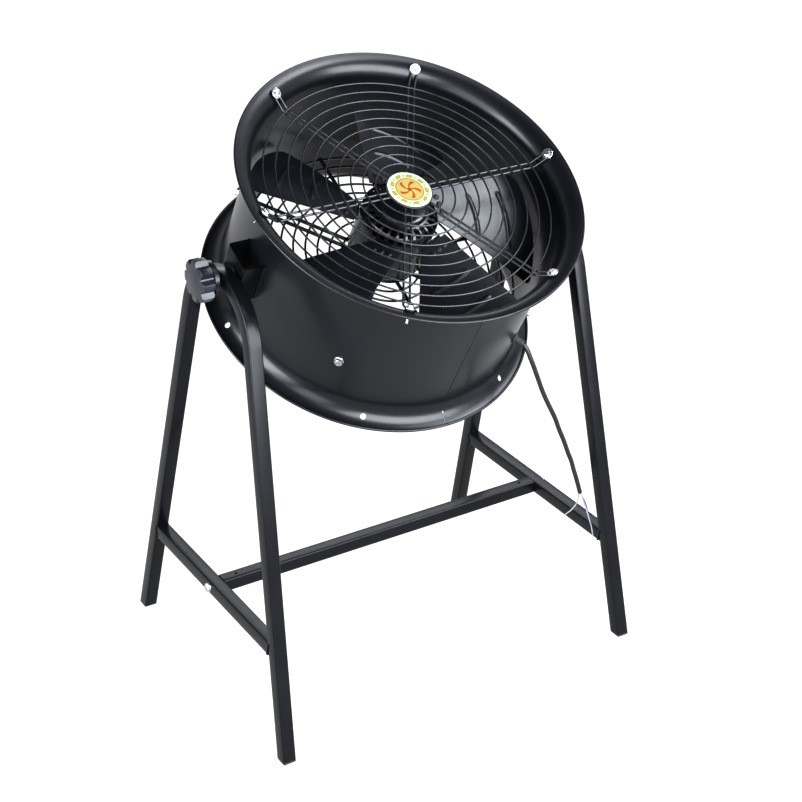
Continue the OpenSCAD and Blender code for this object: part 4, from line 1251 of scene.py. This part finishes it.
# Painted pressed sheet: satin black that goes light grey where it faces the lamps
blade_paint = finish(
    "black_paint_on_sheet", ("#0b0c0f", "#101116"), 60, (0.26, 0.36), 2.6, 0.05,
    IOR=1.5, Specular_IOR_Level=0.3, Coat_Weight=0.1, Coat_Roughness=0.15,
)
fifths = [drum @ turn(72 * k) for k in range(5)]
for number, spot in enumerate(fifths, 1):
    vane = place(double(blade, f"vane_{number}"), spot)
    dress(vane, blade_paint, 40)
    belong(vane, "impeller", "blade_paint", f"blade_{number}")
bpy.data.objects.remove(blade)

holder_sheet = 0.003
bracket = curved_panel("blade_bracket_plates", case_radius + seat, case_radius + 0.036, -0.014, 0.032,
                       blade_sheet + 0.00005, 0.004)
thicken(bracket, holder_sheet)
soften(bracket, 0.0005, 60)
brackets = repeat(bracket, fifths)
dress(brackets, case_paint, 40)
belong(brackets, "impeller", "guard_paint", "blade_brackets")

rivet_x = case_radius + 0.023
under = -(blade_sheet + holder_sheet)
rivet = turned("rivets", [
    (0, under - 0.0019), (0.003, under - 0.0019), (0.0045, under - 0.0015), (0.0054, under - 0.0002),
    (0.0054, under), (0.003, under), (0.003, 0), (0.0054, 0), (0.0054, 0.0003), (0.0047, 0.0012),
    (0.0033, 0.0018), (0.0015, 0.002), (0, 0.002),
], 24)
rivets = repeat(rivet, [
    spot @ at(rivet_x, curve_y, curve_s)
    @ Matrix.Rotation(-asin((y - curve_y) / curve_radius), 4, "X") @ at(0, 0, curve_radius)
    for spot in fifths for y in (-0.004, 0.01, 0.024)
])
# Set steel rivets, their zinc dulled by the punch: grey, with little shine
dull_zinc = finish("dulled_zinc_on_rivets", ("#26272a", "#36383b"), 6, (0.4, 0.55), 1.2, 0.06, Metallic=1.0)
dress(rivets, dull_zinc)
belong(rivets, "impeller", "zinc", "blade_rivets")


# Floor and light
# A white floor between white walls under a darker ceiling. A broad soft light hangs high on the
# right; softboxes in front and on the left draw the sweeps in the flare and the glints on the
# arches, and one behind skims the bars' tops.
daylight = (0.9, 0.94, 1)
ceiling_way = Vector((0.545, -0.341, 0.766))
floor = place(begin("studio_floor", bpy.ops.mesh.primitive_plane_add, size=60, location=(0, 0, -0.0004)))
# A light table: frosted sheet lit from below, so that it stays white in the fan's shadow
studio_white = finish(
    "studio_white", ("#444444", "#4a4a4a"), 900, (0.75, 0.85), 60, 0.1,
    Emission_Color=(1, 1, 1, 1), Emission_Strength=0.95,
)
dress(floor, studio_white)
sky = bpy.data.worlds.new("studio_walls")
sky.use_nodes = True
height = add(sky, "ShaderNodeSeparateXYZ", {"Vector": add(sky, "ShaderNodeTexCoord").outputs["Generated"]})
walls = add(sky, "ShaderNodeValToRGB", {"Fac": height.outputs["Z"]})
set_stops(walls, [(0.5, (1, 1, 1, 1)), (0.75, (0.12, 0.12, 0.125, 1))])
sky.node_tree.links.new(walls.outputs["Color"], sky.node_tree.nodes["Background"].inputs["Color"])
bpy.context.scene.world = sky
bpy.context.scene.view_settings.view_transform = "Standard"
bpy.context.scene.view_settings.gamma = 0.82
ceiling = begin("ceiling_light", bpy.ops.object.light_add, type="SUN",
                rotation=ceiling_way.to_track_quat("Z", "Y").to_euler())
ceiling.data.energy = 4
ceiling.data.angle = radians(38)
ceiling.data.color = daylight
for name, spot, size, power in (
    ("key_softbox", (1.5, -0.8, 2.6), (0.8, 0.8), 30),
    ("front_softbox", (0.3, -2.15, 1.28), (2.4, 1.4), 250),
    ("left_softbox", (-2.19, -0.1, 1.05), (1.2, 1.6), 130),
    ("left_wall", (-2.3, -1.3, 1.2), (2.2, 1.8), 100),
    ("back_softbox", (1.36, 2.1, 2), (1.6, 0.7), 22),
):
    lamp = begin(name, bpy.ops.object.light_add, type="AREA", location=spot)
    lamp.data.shape = "RECTANGLE"
    lamp.data.size, lamp.data.size_y = size
    lamp.data.energy = power
    lamp.data.color = daylight
    lamp.rotation_euler = (lamp.location - pivot).to_track_quat("Z", "Y").to_euler()
